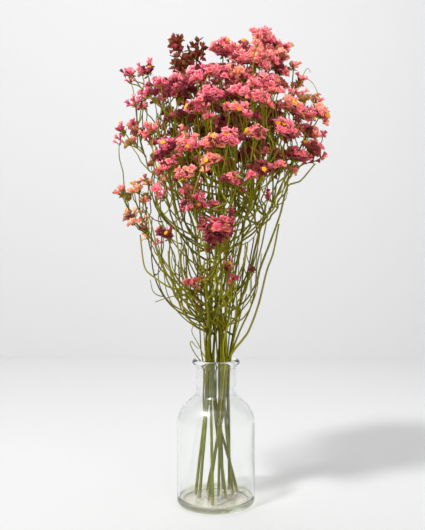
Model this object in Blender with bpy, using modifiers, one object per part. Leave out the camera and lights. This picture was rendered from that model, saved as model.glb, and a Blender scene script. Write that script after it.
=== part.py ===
# Dried statice standing in its clear glass bottle vase. Metres, +Z up, the origin under the vase's middle.
import bmesh
import bpy
import numpy as np

for thing in list(bpy.data.objects):
    bpy.data.objects.remove(thing)

# sizes and places below are in millimetres, and MM turns them into metres
MM = 0.001

# the bottle: body, shoulder, neck and a rolled lip
BODY_RADIUS = 47.5
NECK_RADIUS = 24.2
WALL = 2.5
FLOOR_TOP = 6.5
FOOT_CORNER = 6.5
SHOULDER_START = 98.0
SHOULDER_CURVE = 33.0
SHOULDER_LEAN = np.radians(49)
NECK_START = 136.5
NECK_CURVE = 7.0
NECK_END = 165.0
LIP_MIDDLE = (25.3, 172.4)
LIP_CURVE = 3.6
LIP_TURN = np.radians((135, -50))
INSIDE_CORNER = 5.0
VASE_STEPS = 32

# the stalks, each cut square at its foot and gathered at the waist inside the neck
BUNCH_AXIS = 8.0
WAIST_HEIGHT = 145.0
TRUNK_THICK = ((0, 200, 560), (1.9, 1.5, 0.95))
BRANCH_THICK = (1.15, 0.85)
TWIG_THICK = (0.8, 0.5)
FORK_THICK = (0.9, 0.72)
STUB_LENGTH = 3.2
LOWEST_BRANCH = 205.0
BRANCH_DROP = 62.0
BRANCH_SLOPE = 1.15
BRANCH_HEADROOM = 30.0
BRANCH_TAPER = 0.88
TRUNK_LOAD = 5.0
TRUNK_HOLD = [0.0, 0.2, 0.4, 0.4, 0.3, 0.5, 0.8]
TRUNK_WANDER = 1.2
BRANCH_WANDER = 0.008
TWIG_REACH = (28, 60)
TWIG_RISE = (60, 110)
TWIG_TURN = 0.9
TRUNK_POINTS = (5, 12)
BRANCH_POINTS = 6
TWIG_POINTS = 5
FORK_POINTS = 3
CLEARANCE = 0.7
END_GAP = 0.35
FOOT_GAP = 0.3

# how the stems and the heads make room for each other: rounds, how often and how far they look round them,
# the longest step, the share of each gap made good in a round, and how closely a point follows the next ones
SETTLE_ROUNDS = 220
LOOK_EVERY = 10
LOOK_ROD, LOOK_HEAD = 8.0, 10.0
LONGEST_STEP = 2.5
ROD_SHARE, HEAD_SHARE, PAIR_SHARE = 0.55, 0.5, 0.35
ROD_YIELD, HEAD_YIELD, BELOW_YIELD = 1.3, 0.35, 0.25
PAIR_WAY = (0.6, 1.0, 0.6)
PAIR_BELOW = 0.6
FOLLOW, FOLLOW_LAST, LAST_ROUNDS = 0.16, 0.03, 50

# the flower heads
FLORETS_LEAST = 1.5
FLORETS_PER_MM = 0.32
HEART_SHARE = 0.42
MOUTH_SHARE = 0.78
HOLLOW_SHARE = 0.58
SWELL = 1.1
BACK_COUNT = 18
BACK_WIDTH = 0.86
BACK_ASIDE = (-9, 9)
BACK_DEEPER = (-10, 6)
BACK_LOWER = (-2, 16)
SPRAY_COUNT = 48
SPRAY_REACH = 46.0
SPRAY_MOST = 3

# each stalk: its foot (x, y), its waist (x, y), and the cluster that its top carries
STALKS = [
    ((-20, -4), (-10.5, -3.0), 40),
    ((-4, -31), (-6.5, -10.0), 34),
    ((3, 3), (5.5, -4.5), 2),
    ((9, 33), (5.0, 13.0), "back"),
    ((17, 28), (14.5, 4.0), 25),
    ((-9, -12), (7.5, -11.0), 26),
    ((27, 17), (-4.5, 8.0), 47),
    ((-25, 10), (-11.5, 4.0), 37),
    ((21, 8), (10.5, 9.5), 8),
    ((12, -6), (-3.0, -2.0), 10),
    ((-11, 25), (12.5, -3.5), 0),
]
# the middle (x, y, z) and the radius of each cluster that the front shows, from the top down
CLUSTERS = [
    (55, -5, 557, 16), (70, 22, 556, 12), (12, -5, 547, 16), (34, 15, 553, 11), (28, -35, 527, 12),
    (47, -48, 523, 15), (66, -25, 525, 10), (89, 5, 548, 10), (75, -8, 537, 11), (94, 5, 530, 9),
    (-19, -58, 502, 14), (2, -66, 503, 13), (19, -60, 504, 12), (36, -30, 507, 12), (52, -62, 493, 14),
    (69, -42, 495, 11), (80, -5, 518, 9), (101, 5, 514, 10), (-6, -78, 478, 12), (30, -78, 480, 12),
    (46, -84, 474, 10), (102, -10, 490, 11), (122, 12, 492, 10), (84, -48, 471, 13), (101, -25, 466, 13),
    (127, 5, 474, 13), (73, -66, 442, 14), (110, 0, 448, 12), (113, -18, 426, 12), (92, -42, 415, 12),
    (44, -84, 434, 11), (15, -94, 426, 12), (24, -80, 463, 10), (-3, -84, 423, 12), (-27, -76, 423, 14),
    (-54, -58, 421, 13), (-21, -72, 463, 12), (-73, -38, 447, 12), (-92, -12, 448, 10), (-113, 8, 454, 9),
    (-82, -14, 520, 14), (-103, 8, 523, 8), (-78, -34, 490, 11), (-58, -42, 493, 11), (-40, -54, 486, 11),
    (-41, -18, 528, 11), (-47, 4, 560, 8), (-21, 10, 552, 14), (-55, -60, 401, 10), (-32, -74, 390, 12),
    (-4, -88, 404, 10), (-116, 5, 378, 9), (-92, -14, 379, 11), (-61, -50, 369, 8), (-101, -6, 348, 11),
    (-83, -28, 333, 8), (-56, -48, 324, 12), (4, -72, 327, 18), (12, -45, 286, 10), (15, -84, 383, 10),
    (51, -72, 396, 12), (-26, -30, 270, 5), (41, -25, 284, 5), (-24, -60, 369, 7), (-17, -62, 357, 7),
    (20, -10, 500, 13), (62, 0, 470, 13), (-30, -8, 470, 13), (-62, 6, 505, 12), (78, 8, 420, 12),
    (8, -20, 455, 13), (-60, 2, 420, 12), (40, -8, 420, 12), (-98, 4, 486, 10), (96, 14, 508, 10),
]
# the clusters of brown bracts with no open flower
BROWN = (45, 46, 47)
# colour, roughness of each material
GLASS = ((0.86, 0.9, 0.88), 0.05)
STEM = ((0.16, 0.17, 0.04), 0.7)
ROSE = ((0.72, 0.13, 0.22), 0.85)
CORAL = ((0.8, 0.2, 0.22), 0.85)
BRACT = ((0.24, 0.06, 0.04), 0.85)
UP = np.array((0.0, 0.0, 1.0))


def unit(vector):
    return vector / np.maximum(np.linalg.norm(vector, axis=-1, keepdims=True), 1e-9)


def bend(a, b, c, d, count):
    """Points along the cubic curve with these four controls."""
    t = np.linspace(0.0, 1.0, count)[:, None]
    return a * (1 - t) ** 3 + 3 * b * t * (1 - t) ** 2 + 3 * c * t * t * (1 - t) + d * t**3


def outward(point):
    """The level direction away from the bunch's own middle line."""
    return unit(np.array((point[0] - BUNCH_AXIS, point[1], 0.0)))


def all_clusters(rng):
    """The front's clusters, then the hidden side's: front ones mirrored in depth and moved a little."""
    front = np.array(CLUSTERS, float)
    front[:, 3] *= SWELL
    rows = front[(front[:, 1] < -20) & (front[:, 2] > 330)]
    rows = rows[np.argsort(-rows[:, 3], kind="stable")][:BACK_COUNT]
    back = rows.copy()
    back[:, 0] = rows[:, 0] * BACK_WIDTH + rng.uniform(*BACK_ASIDE, len(rows))
    back[:, 1] = rng.uniform(*BACK_DEEPER, len(rows)) - rows[:, 1]
    back[:, 2] = rows[:, 2] - rng.uniform(*BACK_LOWER, len(rows))
    return np.vstack([front, back])


def sprays_of(clusters):
    """Lists of clusters that share a spray. The closest pairs join first, brown only with brown."""
    total = len(clusters)
    spray = np.arange(total)
    apart = np.linalg.norm((clusters[:, None, :3] - clusters[None, :, :3]) * (1, 1, 0.8), axis=2)
    brown = np.isin(np.arange(total), BROWN)
    apart[brown[:, None] != brown[None, :]] = np.inf
    apart[np.tril_indices(total)] = np.inf
    tops = [top for _, _, top in STALKS if top != "back"]
    left = total
    for flat in np.argsort(apart, axis=None, kind="stable"):
        i, j = divmod(int(flat), total)
        if apart[i, j] > SPRAY_REACH or left <= SPRAY_COUNT:
            break
        a, b = spray[i], spray[j]
        members = (spray == a) | (spray == b)
        crowned = sum(spray[top] in (a, b) for top in tops)
        if a == b or members.sum() > SPRAY_MOST or crowned > 1:
            continue
        spray[members] = min(a, b)
        left -= 1
    return [np.nonzero(spray == label)[0] for label in np.unique(spray)]


class Bunch:
    """Points, and the rods that run through them. A rod's owner names the solid that it belongs to."""

    def __init__(self):
        self.points = []
        self.hold = []
        self.rods = []
        self.owner = []
        self.kind = []
        self.radii = []

    def add(self, path, owner, kind, radii, root=None, hold=None):
        """A rod along the path, from an existing point if a root is given. Returns its end point."""
        own = list(path) if root is None else list(path)[1:]
        first = len(self.points)
        self.points += own
        self.hold += [1.0] * len(own) if hold is None else hold
        ids = list(range(first, first + len(own)))
        self.rods.append(ids if root is None else [root] + ids)
        self.owner.append(owner)
        self.kind.append(kind)
        self.radii.append(np.array(radii, float))
        return ids[-1]


def spray_bases(clusters, sprays, rng):
    """Where each spray's twigs part, below its clusters, and the direction it grows in."""
    bases, ways = [], []
    for members in sprays:
        mids = clusters[members, :3]
        middle = mids.mean(0)
        spread = np.linalg.norm(mids - middle, axis=1).max()
        lean = min(0.55, np.hypot(middle[0] - BUNCH_AXIS, middle[1]) / 140)
        way = unit(UP * 0.9 + outward(middle) * lean + rng.normal(0, 0.1, 3))
        lowest = np.array((middle[0], middle[1], mids[:, 2].min()))
        bases.append(lowest - way * (clusters[members, 3].max() + 12 + 0.35 * spread))
        ways.append(way)
    return np.array(bases), np.array(ways)


def grow_trunks(bunch, sprays, bases, ways, rng):
    """The stalks from foot to top. Returns the end point of each spray that crowns one."""
    behind = np.array([members[0] >= len(CLUSTERS) for members in sprays])
    highest_behind = int(np.argmax(np.where(behind, bases[:, 2] - 0.6 * np.abs(bases[:, 0] - 10), -np.inf)))
    end_of = {}
    for k, (foot, waist, top) in enumerate(STALKS):
        if top == "back":
            s = highest_behind
        else:
            s = next(i for i, members in enumerate(sprays) if top in members)
        tip, way = bases[s], ways[s]
        waist = np.array((*waist, WAIST_HEIGHT), float)
        tilt = np.hypot(*(waist[:2] - foot)) / WAIST_HEIGHT
        foot = np.array((*foot, FLOOR_TOP + FOOT_GAP + TRUNK_THICK[1][0] * tilt), float)
        low, high = np.linalg.norm(waist - foot), np.linalg.norm(tip - waist)
        lower = bend(foot, foot + (waist - foot) * 0.4, waist - UP * 0.25 * low, waist, TRUNK_POINTS[0])
        lean = unit(unit(waist - foot) * 0.6 + UP)
        upper = bend(waist, waist + lean * 0.33 * high, tip - way * 0.36 * high, tip, TRUNK_POINTS[1])
        path = np.vstack([lower, upper[1:]])
        path[TRUNK_POINTS[0] + 1 : -2, :2] += rng.normal(0, TRUNK_WANDER, (TRUNK_POINTS[1] - 4, 2))
        hold = TRUNK_HOLD + [1.0] * (len(path) - len(TRUNK_HOLD))
        end_of[s] = bunch.add(path, k, "trunk", np.interp(path[:, 2], *TRUNK_THICK), hold=hold)
    return end_of


def trunk_point(bunch, tip, load):
    """The best place on any stalk for a branch to that tip: (stalk, number along it)."""
    best = (np.inf, 0, TRUNK_POINTS[0] + 1)
    for k in range(len(STALKS)):
        points = np.array([bunch.points[i] for i in bunch.rods[k]])
        for q in range(TRUNK_POINTS[0], len(points) - 2):
            low = points[q, 2] < LOWEST_BRANCH or points[q, 2] > tip[2] - BRANCH_HEADROOM
            level = np.hypot(*(tip - points[q])[:2])
            miss = abs(points[q, 2] - (tip[2] - BRANCH_DROP - BRANCH_SLOPE * level))
            cost = level + 0.25 * miss + TRUNK_LOAD * load[k] + 1000 * low
            if cost < best[0]:
                best = (cost, k, q)
    return best[1:]


def grow_branches(bunch, bases, ways, end_of, rng):
    """A branch to the base of each spray that has no stalk of its own."""
    load = np.zeros(len(STALKS))
    for s in np.argsort(-bases[:, 2], kind="stable"):
        if s in end_of:
            continue
        tip = bases[s]
        k, q = trunk_point(bunch, tip, load)
        load[k] += 1
        ids = bunch.rods[k]
        start = np.array(bunch.points[ids[q]])
        along = unit(np.array(bunch.points[ids[q + 1]]) - np.array(bunch.points[ids[q - 1]]))
        side = unit((tip - start) * (1, 1, 0))
        span = np.linalg.norm(tip - start)
        flat = np.clip(np.hypot(*(tip - start)[:2]) / max(tip[2] - start[2], 1) - 0.25, 0, 1)
        leave = unit(along * (1 - 0.5 * flat) + side * (0.25 + 0.9 * flat)) * 0.36 * span
        arrive = unit(ways[s] * (1 - flat) + UP * (0.4 + flat)) * 0.4 * span
        path = bend(start, start + leave, tip - arrive, tip, BRANCH_POINTS)
        path[2:-2] += rng.normal(0, BRANCH_WANDER * span, (BRANCH_POINTS - 4, 3))
        thick = min(BRANCH_THICK[0], bunch.radii[k][q] * BRANCH_TAPER)
        radii = np.linspace(thick, BRANCH_THICK[1], BRANCH_POINTS)
        end_of[s] = bunch.add(path, k, "branch", radii, root=ids[q])


def grow_twigs(bunch, rng):
    """One bare twig low on each stalk, bowed outwards and then up."""
    for k in range(len(STALKS)):
        ids = bunch.rods[k]
        q = TRUNK_POINTS[0] + 1 + k % 3
        start = np.array(bunch.points[ids[q]])
        turn = np.arctan2(start[1], start[0]) + rng.uniform(-TWIG_TURN, TWIG_TURN)
        side = np.array((np.cos(turn), np.sin(turn), 0.0))
        reach, rise = rng.uniform(*TWIG_REACH), rng.uniform(*TWIG_RISE)
        tip = start + side * reach + UP * rise
        bow = start + side * reach * 0.7 + UP * rise * 0.25
        path = bend(start, bow, tip - UP * rise * 0.4, tip, TWIG_POINTS)
        bunch.add(path, k, "twig", np.linspace(*TWIG_THICK, TWIG_POINTS), root=ids[q])


def grow_forks(bunch, clusters, sprays, ways, end_of):
    """The twigs inside each spray, one to each cluster. Returns (rod, cluster, spray) for each."""
    heads = []
    for s, members in enumerate(sprays):
        base = np.array(bunch.points[end_of[s]])
        neck = base + ways[s] * STUB_LENGTH
        for c in members:
            middle = clusters[c, :3]
            reach = np.linalg.norm(middle - neck)
            leave = unit(ways[s] + unit(middle - neck)) * 0.35 * reach
            arrive = unit(UP + unit(middle - neck)) * 0.4 * reach
            path = np.vstack([base, bend(neck, neck + leave, middle - arrive, middle, FORK_POINTS)])
            bunch.add(path, len(STALKS) + s, "fork", [FORK_THICK[0]] * len(path), root=end_of[s])
            heads.append((len(bunch.rods) - 1, c, s))
    return heads


def nearest(p, q, r, s):
    """Where segments p-q and r-s come closest: the share along each, and the step from second to first."""
    u, v, w = q - p, s - r, p - r
    a, b, c = (u * u).sum(1), (u * v).sum(1), (v * v).sum(1)
    d, e = (u * w).sum(1), (v * w).sum(1)
    det = a * c - b * b
    first = np.clip(np.where(det > 1e-9, (b * e - c * d) / np.maximum(det, 1e-9), 0.5), 0, 1)
    second = np.clip((b * first + e) / np.maximum(c, 1e-9), 0, 1)
    first = np.clip((b * second - d) / np.maximum(a, 1e-9), 0, 1)
    return first, second, w + u * first[:, None] - v * second[:, None]


def push_of(gap, room, share):
    """How far to move along each gap, for the part of the clearance that is missing."""
    dist = np.linalg.norm(gap, axis=-1, keepdims=True)
    way = np.where(dist > 1e-6, gap / np.maximum(dist, 1e-6), (0.0, 1.0, 0.0))
    return way * (np.maximum(CLEARANCE - room, 0) * share)[..., None]


def settle(bunch, clusters, heads):
    """Moves the points apart until no rod or cluster of one solid touches another solid's."""
    home = np.array(bunch.points, float)
    at = home.copy()
    hold = np.array(bunch.hold)[:, None]
    one = np.concatenate([ids[:-1] for ids in bunch.rods])
    two = np.concatenate([ids[1:] for ids in bunch.rods])
    owner = np.concatenate([[own] * (len(ids) - 1) for own, ids in zip(bunch.owner, bunch.rods)])
    thick = np.concatenate([np.maximum(radii[:-1], radii[1:]) for radii in bunch.radii])
    ball = np.array([bunch.rods[rod][-1] for rod, _, _ in heads])
    below = np.array([bunch.rods[rod][-2] for rod, _, _ in heads])
    size = np.array([clusters[c, 3] for _, c, _ in heads])
    ball_owner = np.array([len(STALKS) + s for _, _, s in heads])
    joined_ends = (one[:, None] == one) | (one[:, None] == two)
    joined_ends |= (two[:, None] == one) | (two[:, None] == two)
    rod_pairs = (owner[:, None] < owner) & ~joined_ends
    ball_pairs = owner[:, None] != ball_owner
    same = ball_owner[:, None] == ball_owner
    for turn in range(SETTLE_ROUNDS):
        if turn % LOOK_EVERY == 0:
            mid = (at[one] + at[two]) / 2
            half = np.linalg.norm(at[one] - at[two], axis=1) / 2
            apart = np.linalg.norm(mid[:, None] - mid, axis=2) - half[:, None] - half
            i, j = np.nonzero(rod_pairs & (apart < LOOK_ROD))
            apart = np.linalg.norm(mid[:, None] - at[ball], axis=2) - half[:, None] - size
            m, n = np.nonzero(ball_pairs & (apart < LOOK_HEAD))
        move = np.zeros_like(at)
        s, t, gap = nearest(at[one[i]], at[two[i]], at[one[j]], at[two[j]])
        rod_room = np.linalg.norm(gap, axis=1) - thick[i] - thick[j]
        push = push_of(gap, rod_room, ROD_SHARE)
        for ids, part in ((one[i], 1 - s), (two[i], s), (one[j], t - 1), (two[j], -t)):
            np.add.at(move, ids, push * part[:, None])
        s, _, gap = nearest(at[one[m]], at[two[m]], at[ball[n]], at[ball[n]] + 1e-3)
        ball_room = np.linalg.norm(gap, axis=1) - thick[m] - size[n]
        push = push_of(gap, ball_room, HEAD_SHARE)
        np.add.at(move, one[m], push * ROD_YIELD * (1 - s)[:, None])
        np.add.at(move, two[m], push * ROD_YIELD * s[:, None])
        np.add.at(move, ball[n], -push * HEAD_YIELD)
        np.add.at(move, below[n], -push * BELOW_YIELD)
        gap = at[ball][:, None] - at[ball]
        room = np.where(same, np.inf, np.linalg.norm(gap, axis=2) - size[:, None] - size)
        push = push_of(gap, room, PAIR_SHARE).sum(1) * PAIR_WAY
        np.add.at(move, ball, push)
        np.add.at(move, below, push * PAIR_BELOW)
        move *= np.minimum(1, LONGEST_STEP / np.maximum(np.linalg.norm(move, axis=1, keepdims=True), 1e-9))
        step = at + move * hold - home
        # each point follows its neighbours a little, so that a rod bends and doesn't kink
        total, count = np.zeros_like(at), np.zeros(len(at))
        for ids, other in ((one, two), (two, one)):
            np.add.at(total, ids, step[other])
            np.add.at(count, ids, 1)
        ease = FOLLOW_LAST if turn > SETTLE_ROUNDS - LAST_ROUNDS else FOLLOW
        step += (total / count[:, None] - step) * ease * (hold > 0)
        at = home + step
    print("least room between stems, to a cluster, between clusters (mm):")
    print([round(float(room.min()), 2) for room in (rod_room, ball_room, room)])
    return at


def arc(middle, radius, start, end, count):
    """Points (radius, height) along an arc, its angles in radians from level."""
    angle = np.linspace(start, end, count)
    return [(middle[0] + radius * np.cos(a), middle[1] + radius * np.sin(a)) for a in angle]


def vase_profile():
    """From the middle of the inside floor up, over the lip, and down the outside to the foot's middle."""
    shoulder = (BODY_RADIUS - SHOULDER_CURVE, SHOULDER_START)
    throat = (NECK_RADIUS + NECK_CURVE, NECK_START)
    inside = [(0.0, FLOOR_TOP)]
    corner = (BODY_RADIUS - WALL - INSIDE_CORNER, FLOOR_TOP + INSIDE_CORNER)
    inside += arc(corner, INSIDE_CORNER, -np.pi / 2, 0, 3)
    inside += arc(shoulder, SHOULDER_CURVE - WALL, 0, SHOULDER_LEAN, 4)
    inside += arc(throat, NECK_CURVE + WALL, np.pi + SHOULDER_LEAN, np.pi, 3)
    inside += [(NECK_RADIUS - WALL, LIP_MIDDLE[1] - 2)]
    outside = arc(LIP_MIDDLE, LIP_CURVE, *LIP_TURN, 6)
    outside += [(NECK_RADIUS, NECK_END)]
    outside += arc(throat, NECK_CURVE, np.pi, np.pi + SHOULDER_LEAN, 3)
    outside += arc(shoulder, SHOULDER_CURVE, SHOULDER_LEAN, 0, 5)
    outside += arc((BODY_RADIUS - FOOT_CORNER, FOOT_CORNER), FOOT_CORNER, 0, -np.pi / 2, 3)
    outside += [(0.0, 0.0)]
    return inside + outside


def material(name, look):
    made = bpy.data.materials.new(name)
    made.use_nodes = True
    shader = made.node_tree.nodes["Principled BSDF"]
    shader.inputs["Base Color"].default_value = (*look[0], 1.0)
    shader.inputs["Roughness"].default_value = look[1]
    return made


def new_object(name, data, group):
    made = bpy.data.objects.new(name, data)
    group.objects.link(made)
    return made


def mesh_object(name, points, edges, faces, group):
    """A mesh object from points in millimetres."""
    mesh = bpy.data.meshes.new(name)
    mesh.from_pydata([tuple(point) for point in np.asarray(points) * MM], edges, faces)
    return new_object(name, mesh, group)


def make_vase(group):
    profile = vase_profile()
    points = [(radius, 0.0, height) for radius, height in profile]
    edges = [(k, k + 1) for k in range(len(points) - 1)]
    vase = mesh_object("vase", points, edges, [], group)
    turn = vase.modifiers.new("turn", "SCREW")
    turn.steps = VASE_STEPS
    turn.render_steps = VASE_STEPS
    turn.use_merge_vertices = True
    turn.merge_threshold = 1e-6
    turn.use_smooth_shade = True
    return vase


def rod(path, radii, resolution, group):
    """A round rod along the path, as a curve with closed ends."""
    curve = bpy.data.curves.new("rod", "CURVE")
    curve.dimensions = "3D"
    curve.bevel_depth = MM
    curve.bevel_resolution = resolution
    curve.use_fill_caps = True
    spline = curve.splines.new("POLY")
    spline.points.add(len(path) - 1)
    for point, place, radius in zip(spline.points, np.asarray(path) * MM, radii):
        point.co = (*place, 1.0)
        point.radius = radius
    return new_object("rod", curve, group)


def meshes_from(rods, group):
    """The same rods as closed meshes, their caps welded on."""
    graph = bpy.context.evaluated_depsgraph_get()
    made = []
    for curve in rods:
        mesh = bpy.data.meshes.new_from_object(curve.evaluated_get(graph))
        shape = bmesh.new()
        shape.from_mesh(mesh)
        bmesh.ops.remove_doubles(shape, verts=shape.verts, dist=1e-7)
        bmesh.ops.recalc_face_normals(shape, faces=shape.faces)
        shape.to_mesh(mesh)
        shape.free()
        made.append(new_object("rod", mesh, group))
        bpy.data.objects.remove(curve)
    return made


def spread_ways(axis, count, rng):
    """Directions spread evenly round the axis, the last one straight back along the stem."""
    side = unit(np.cross(axis, (0.2, 1.0, 0.3)))
    other = np.cross(axis, side)
    spin = rng.uniform(0, 2 * np.pi)
    ways = []
    for f in range(count):
        level = 1 - 1.5 * (f + 0.4) / count
        turn = spin + f * np.pi * (3 - np.sqrt(5))
        flat = np.sqrt(1 - level * level)
        way = axis * level + (side * np.cos(turn) + other * np.sin(turn)) * flat
        ways.append(unit(way + rng.normal(0, 0.1, 3)))
    return np.array(ways + [-axis])


def cells_of(ways):
    """The directions of the corners between neighbours, and for each direction its corners in order."""
    hull = bmesh.new()
    for way in ways:
        hull.verts.new(way)
    bmesh.ops.convex_hull(hull, input=hull.verts)
    hull.verts.index_update()
    hull.faces.index_update()
    hull.normal_update()
    corners = np.array([face.normal for face in hull.faces])
    cells = []
    for vert in hull.verts:
        way = np.array(vert.co)
        side = unit(np.cross(way, (0.31, 0.77, 0.55)))
        other = np.cross(way, side)
        mine = [face.index for face in vert.link_faces]
        cells.append(sorted(mine, key=lambda c: np.arctan2(corners[c] @ other, corners[c] @ side)))
    hull.free()
    return corners, cells


def flower_head(middle, size, axis, rng, group):
    """Calyces flaring from one small heart: each has a rim with a hollow inside, and a crevice round it."""
    ways = spread_ways(axis, int(round(FLORETS_LEAST + FLORETS_PER_MM * size)), rng)
    corners, cells = cells_of(ways)
    points = [middle + c * size * HEART_SHARE * rng.uniform(0.92, 1.08) for c in corners]
    faces = []
    for way, cell in zip(ways[:-1], cells[:-1]):
        leans = np.arccos(corners[cell] @ way)
        reach = size * rng.uniform(0.84, 0.99)
        hollow = len(points)
        points.append(middle + way * reach * HOLLOW_SHARE)
        for c, lean in zip(cell, leans):
            lean = min(lean * 0.86, leans.mean() * MOUTH_SHARE * rng.uniform(0.92, 1.06))
            aside = unit(corners[c] - way * (corners[c] @ way))
            toward = way * np.cos(lean) + aside * np.sin(lean)
            points.append(middle + toward * reach * rng.uniform(0.96, 1.0))
        for s, c in enumerate(cell):
            rim, next_rim = hollow + 1 + s, hollow + 1 + (s + 1) % len(cell)
            faces += [(hollow, rim, next_rim), (c, cell[(s + 1) % len(cell)], next_rim), (c, next_rim, rim)]
    faces.append(tuple(cells[-1]))
    return mesh_object("head", points, [], faces, group)


def joined(name, pieces, look, group):
    """One solid from overlapping closed meshes, named and coloured."""
    whole, rest = pieces[0], pieces[1:]
    if rest:
        others = bpy.data.collections.new("others")
        bpy.context.scene.collection.children.link(others)
        for piece in rest:
            group.objects.unlink(piece)
            others.objects.link(piece)
        union = whole.modifiers.new("union", "BOOLEAN")
        union.operation = "UNION"
        union.operand_type = "COLLECTION"
        union.collection = others
        union.solver = "MANIFOLD"
        graph = bpy.context.evaluated_depsgraph_get()
        mesh = bpy.data.meshes.new_from_object(whole.evaluated_get(graph))
        whole.modifiers.clear()
        whole.data = mesh
        for piece in rest:
            bpy.data.objects.remove(piece)
        bpy.data.collections.remove(others)
    whole.name = name
    whole.data.materials.clear()
    whole.data.materials.append(look)
    return whole


def make_stalk(k, bunch, at, look, group):
    """One stalk with its branches and twigs."""
    rods = []
    for ids, owner, kind, radii in zip(bunch.rods, bunch.owner, bunch.kind, bunch.radii):
        if owner == k:
            rods.append(rod(at[ids], radii, 1 if kind == "trunk" else 0, group))
    return joined("stalk_%02d" % (k + 1), meshes_from(rods, group), look, group)


def make_spray(s, bunch, at, clusters, heads, rng, look, group):
    """One spray: a twig to its first cluster, others that part from it above its foot, and its calyces."""
    mine = [(bunch.rods[stem], c) for stem, c, owner in heads if owner == s]
    base, neck = at[mine[0][0][:2]]
    foot = base + unit(neck - base) * END_GAP
    rods = [rod(np.vstack([foot, at[mine[0][0][1:]]]), [FORK_THICK[0]] * (FORK_POINTS + 1), 0, group)]
    for ids, _ in mine[1:]:
        rods.append(rod(np.vstack([neck, at[ids[2:]]]), [FORK_THICK[1]] * FORK_POINTS, 0, group))
    pieces = meshes_from(rods, group)
    for ids, c in mine:
        middle = at[ids[-1]]
        axis = unit(unit(middle - at[ids[-2]]) * 0.5 + UP * 0.5 + outward(middle) * 0.35)
        pieces.append(flower_head(middle, clusters[c, 3], axis, rng, group))
    return joined("spray_%02d" % (s + 1), pieces, look, group)


def spray_look(members, middle, looks):
    """Brown for the bracts, coral towards the upper right, rose elsewhere."""
    if members[0] in BROWN:
        return looks["bract"]
    return looks["coral" if middle[0] > 20 and middle[2] > 430 else "rose"]


def main():
    group = bpy.data.collections.new("dried_statice")
    bpy.context.scene.collection.children.link(group)
    names = {"glass": GLASS, "stem": STEM, "rose": ROSE, "coral": CORAL, "bract": BRACT}
    looks = {name: material(name, look) for name, look in names.items()}
    make_vase(group).data.materials.append(looks["glass"])
    rng = np.random.default_rng(7)
    clusters = all_clusters(rng)
    sprays = sprays_of(clusters)
    bases, ways = spray_bases(clusters, sprays, rng)
    bunch = Bunch()
    end_of = grow_trunks(bunch, sprays, bases, ways, rng)
    grow_branches(bunch, bases, ways, end_of, rng)
    grow_twigs(bunch, rng)
    heads = grow_forks(bunch, clusters, sprays, ways, end_of)
    at = settle(bunch, clusters, heads)
    print(len(clusters), "clusters in", len(sprays), "sprays")
    for k in range(len(STALKS)):
        make_stalk(k, bunch, at, looks["stem"], group)
    for s, members in enumerate(sprays):
        look = spray_look(members, clusters[members, :3].mean(0), looks)
        make_spray(s, bunch, at, clusters, heads, rng, look, group)


main()
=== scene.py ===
import bpy
import numpy as np
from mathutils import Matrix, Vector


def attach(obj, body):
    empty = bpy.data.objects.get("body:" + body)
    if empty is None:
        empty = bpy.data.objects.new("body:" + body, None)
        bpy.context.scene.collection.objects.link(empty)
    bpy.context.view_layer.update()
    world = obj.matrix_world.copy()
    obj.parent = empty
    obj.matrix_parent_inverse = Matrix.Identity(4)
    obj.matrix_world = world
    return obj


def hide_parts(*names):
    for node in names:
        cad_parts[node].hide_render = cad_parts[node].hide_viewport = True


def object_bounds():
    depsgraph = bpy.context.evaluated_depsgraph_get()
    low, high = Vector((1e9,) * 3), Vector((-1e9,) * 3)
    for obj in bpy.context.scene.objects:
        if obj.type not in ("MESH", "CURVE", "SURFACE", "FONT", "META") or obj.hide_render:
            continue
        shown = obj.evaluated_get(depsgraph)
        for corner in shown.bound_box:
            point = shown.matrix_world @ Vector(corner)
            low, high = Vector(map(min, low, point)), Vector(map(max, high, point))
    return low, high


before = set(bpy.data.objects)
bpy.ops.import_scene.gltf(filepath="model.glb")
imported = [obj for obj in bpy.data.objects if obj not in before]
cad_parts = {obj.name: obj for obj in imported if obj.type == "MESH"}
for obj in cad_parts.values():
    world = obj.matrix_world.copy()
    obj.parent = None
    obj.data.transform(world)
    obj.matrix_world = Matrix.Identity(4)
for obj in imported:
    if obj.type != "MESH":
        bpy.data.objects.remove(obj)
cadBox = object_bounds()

# The camera, the stage and the lamps are in metres. All else is worked out in millimetres, and turned into metres
# where its mesh is made.
mm = 0.001
up = np.array((0.0, 0.0, 1.0))
bunchAxis = 8.0  # x of the line that the bunch spreads from

# The bunch's own lines. These sizes, the two lists and the order of the random draws are those of the CAD.
bunchSizes = {
    "waistHeight": 145.0, "trunkThick": ((0, 200, 560), (1.9, 1.5, 0.95)), "branchThick": (1.15, 0.85),
    "twigThick": (0.8, 0.5), "forkThick": 0.9, "stub": 3.2, "lowestBranch": 205.0, "load": 5.0,
    "trunkPoints": (5, 12), "branchPoints": 6, "twigPoints": 5, "forkPoints": 3,
    "clearance": 0.7, "footGap": 0.3, "rounds": 220, "swell": 1.1,
    "backCount": 18, "sprayCount": 48, "sprayReach": 46.0, "sprayMost": 3,
}

# each stalk: its foot (x, y), its waist (x, y), and the cluster that its top carries
stalks = [
    ((-20, -4), (-10.5, -3.0), 40),
    ((-4, -31), (-6.5, -10.0), 34),
    ((3, 3), (5.5, -4.5), 2),
    ((9, 33), (5.0, 13.0), "back"),
    ((17, 28), (14.5, 4.0), 25),
    ((-9, -12), (7.5, -11.0), 26),
    ((27, 17), (-4.5, 8.0), 47),
    ((-25, 10), (-11.5, 4.0), 37),
    ((21, 8), (10.5, 9.5), 8),
    ((12, -6), (-3.0, -2.0), 10),
    ((-11, 25), (12.5, -3.5), 0),
]

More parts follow.
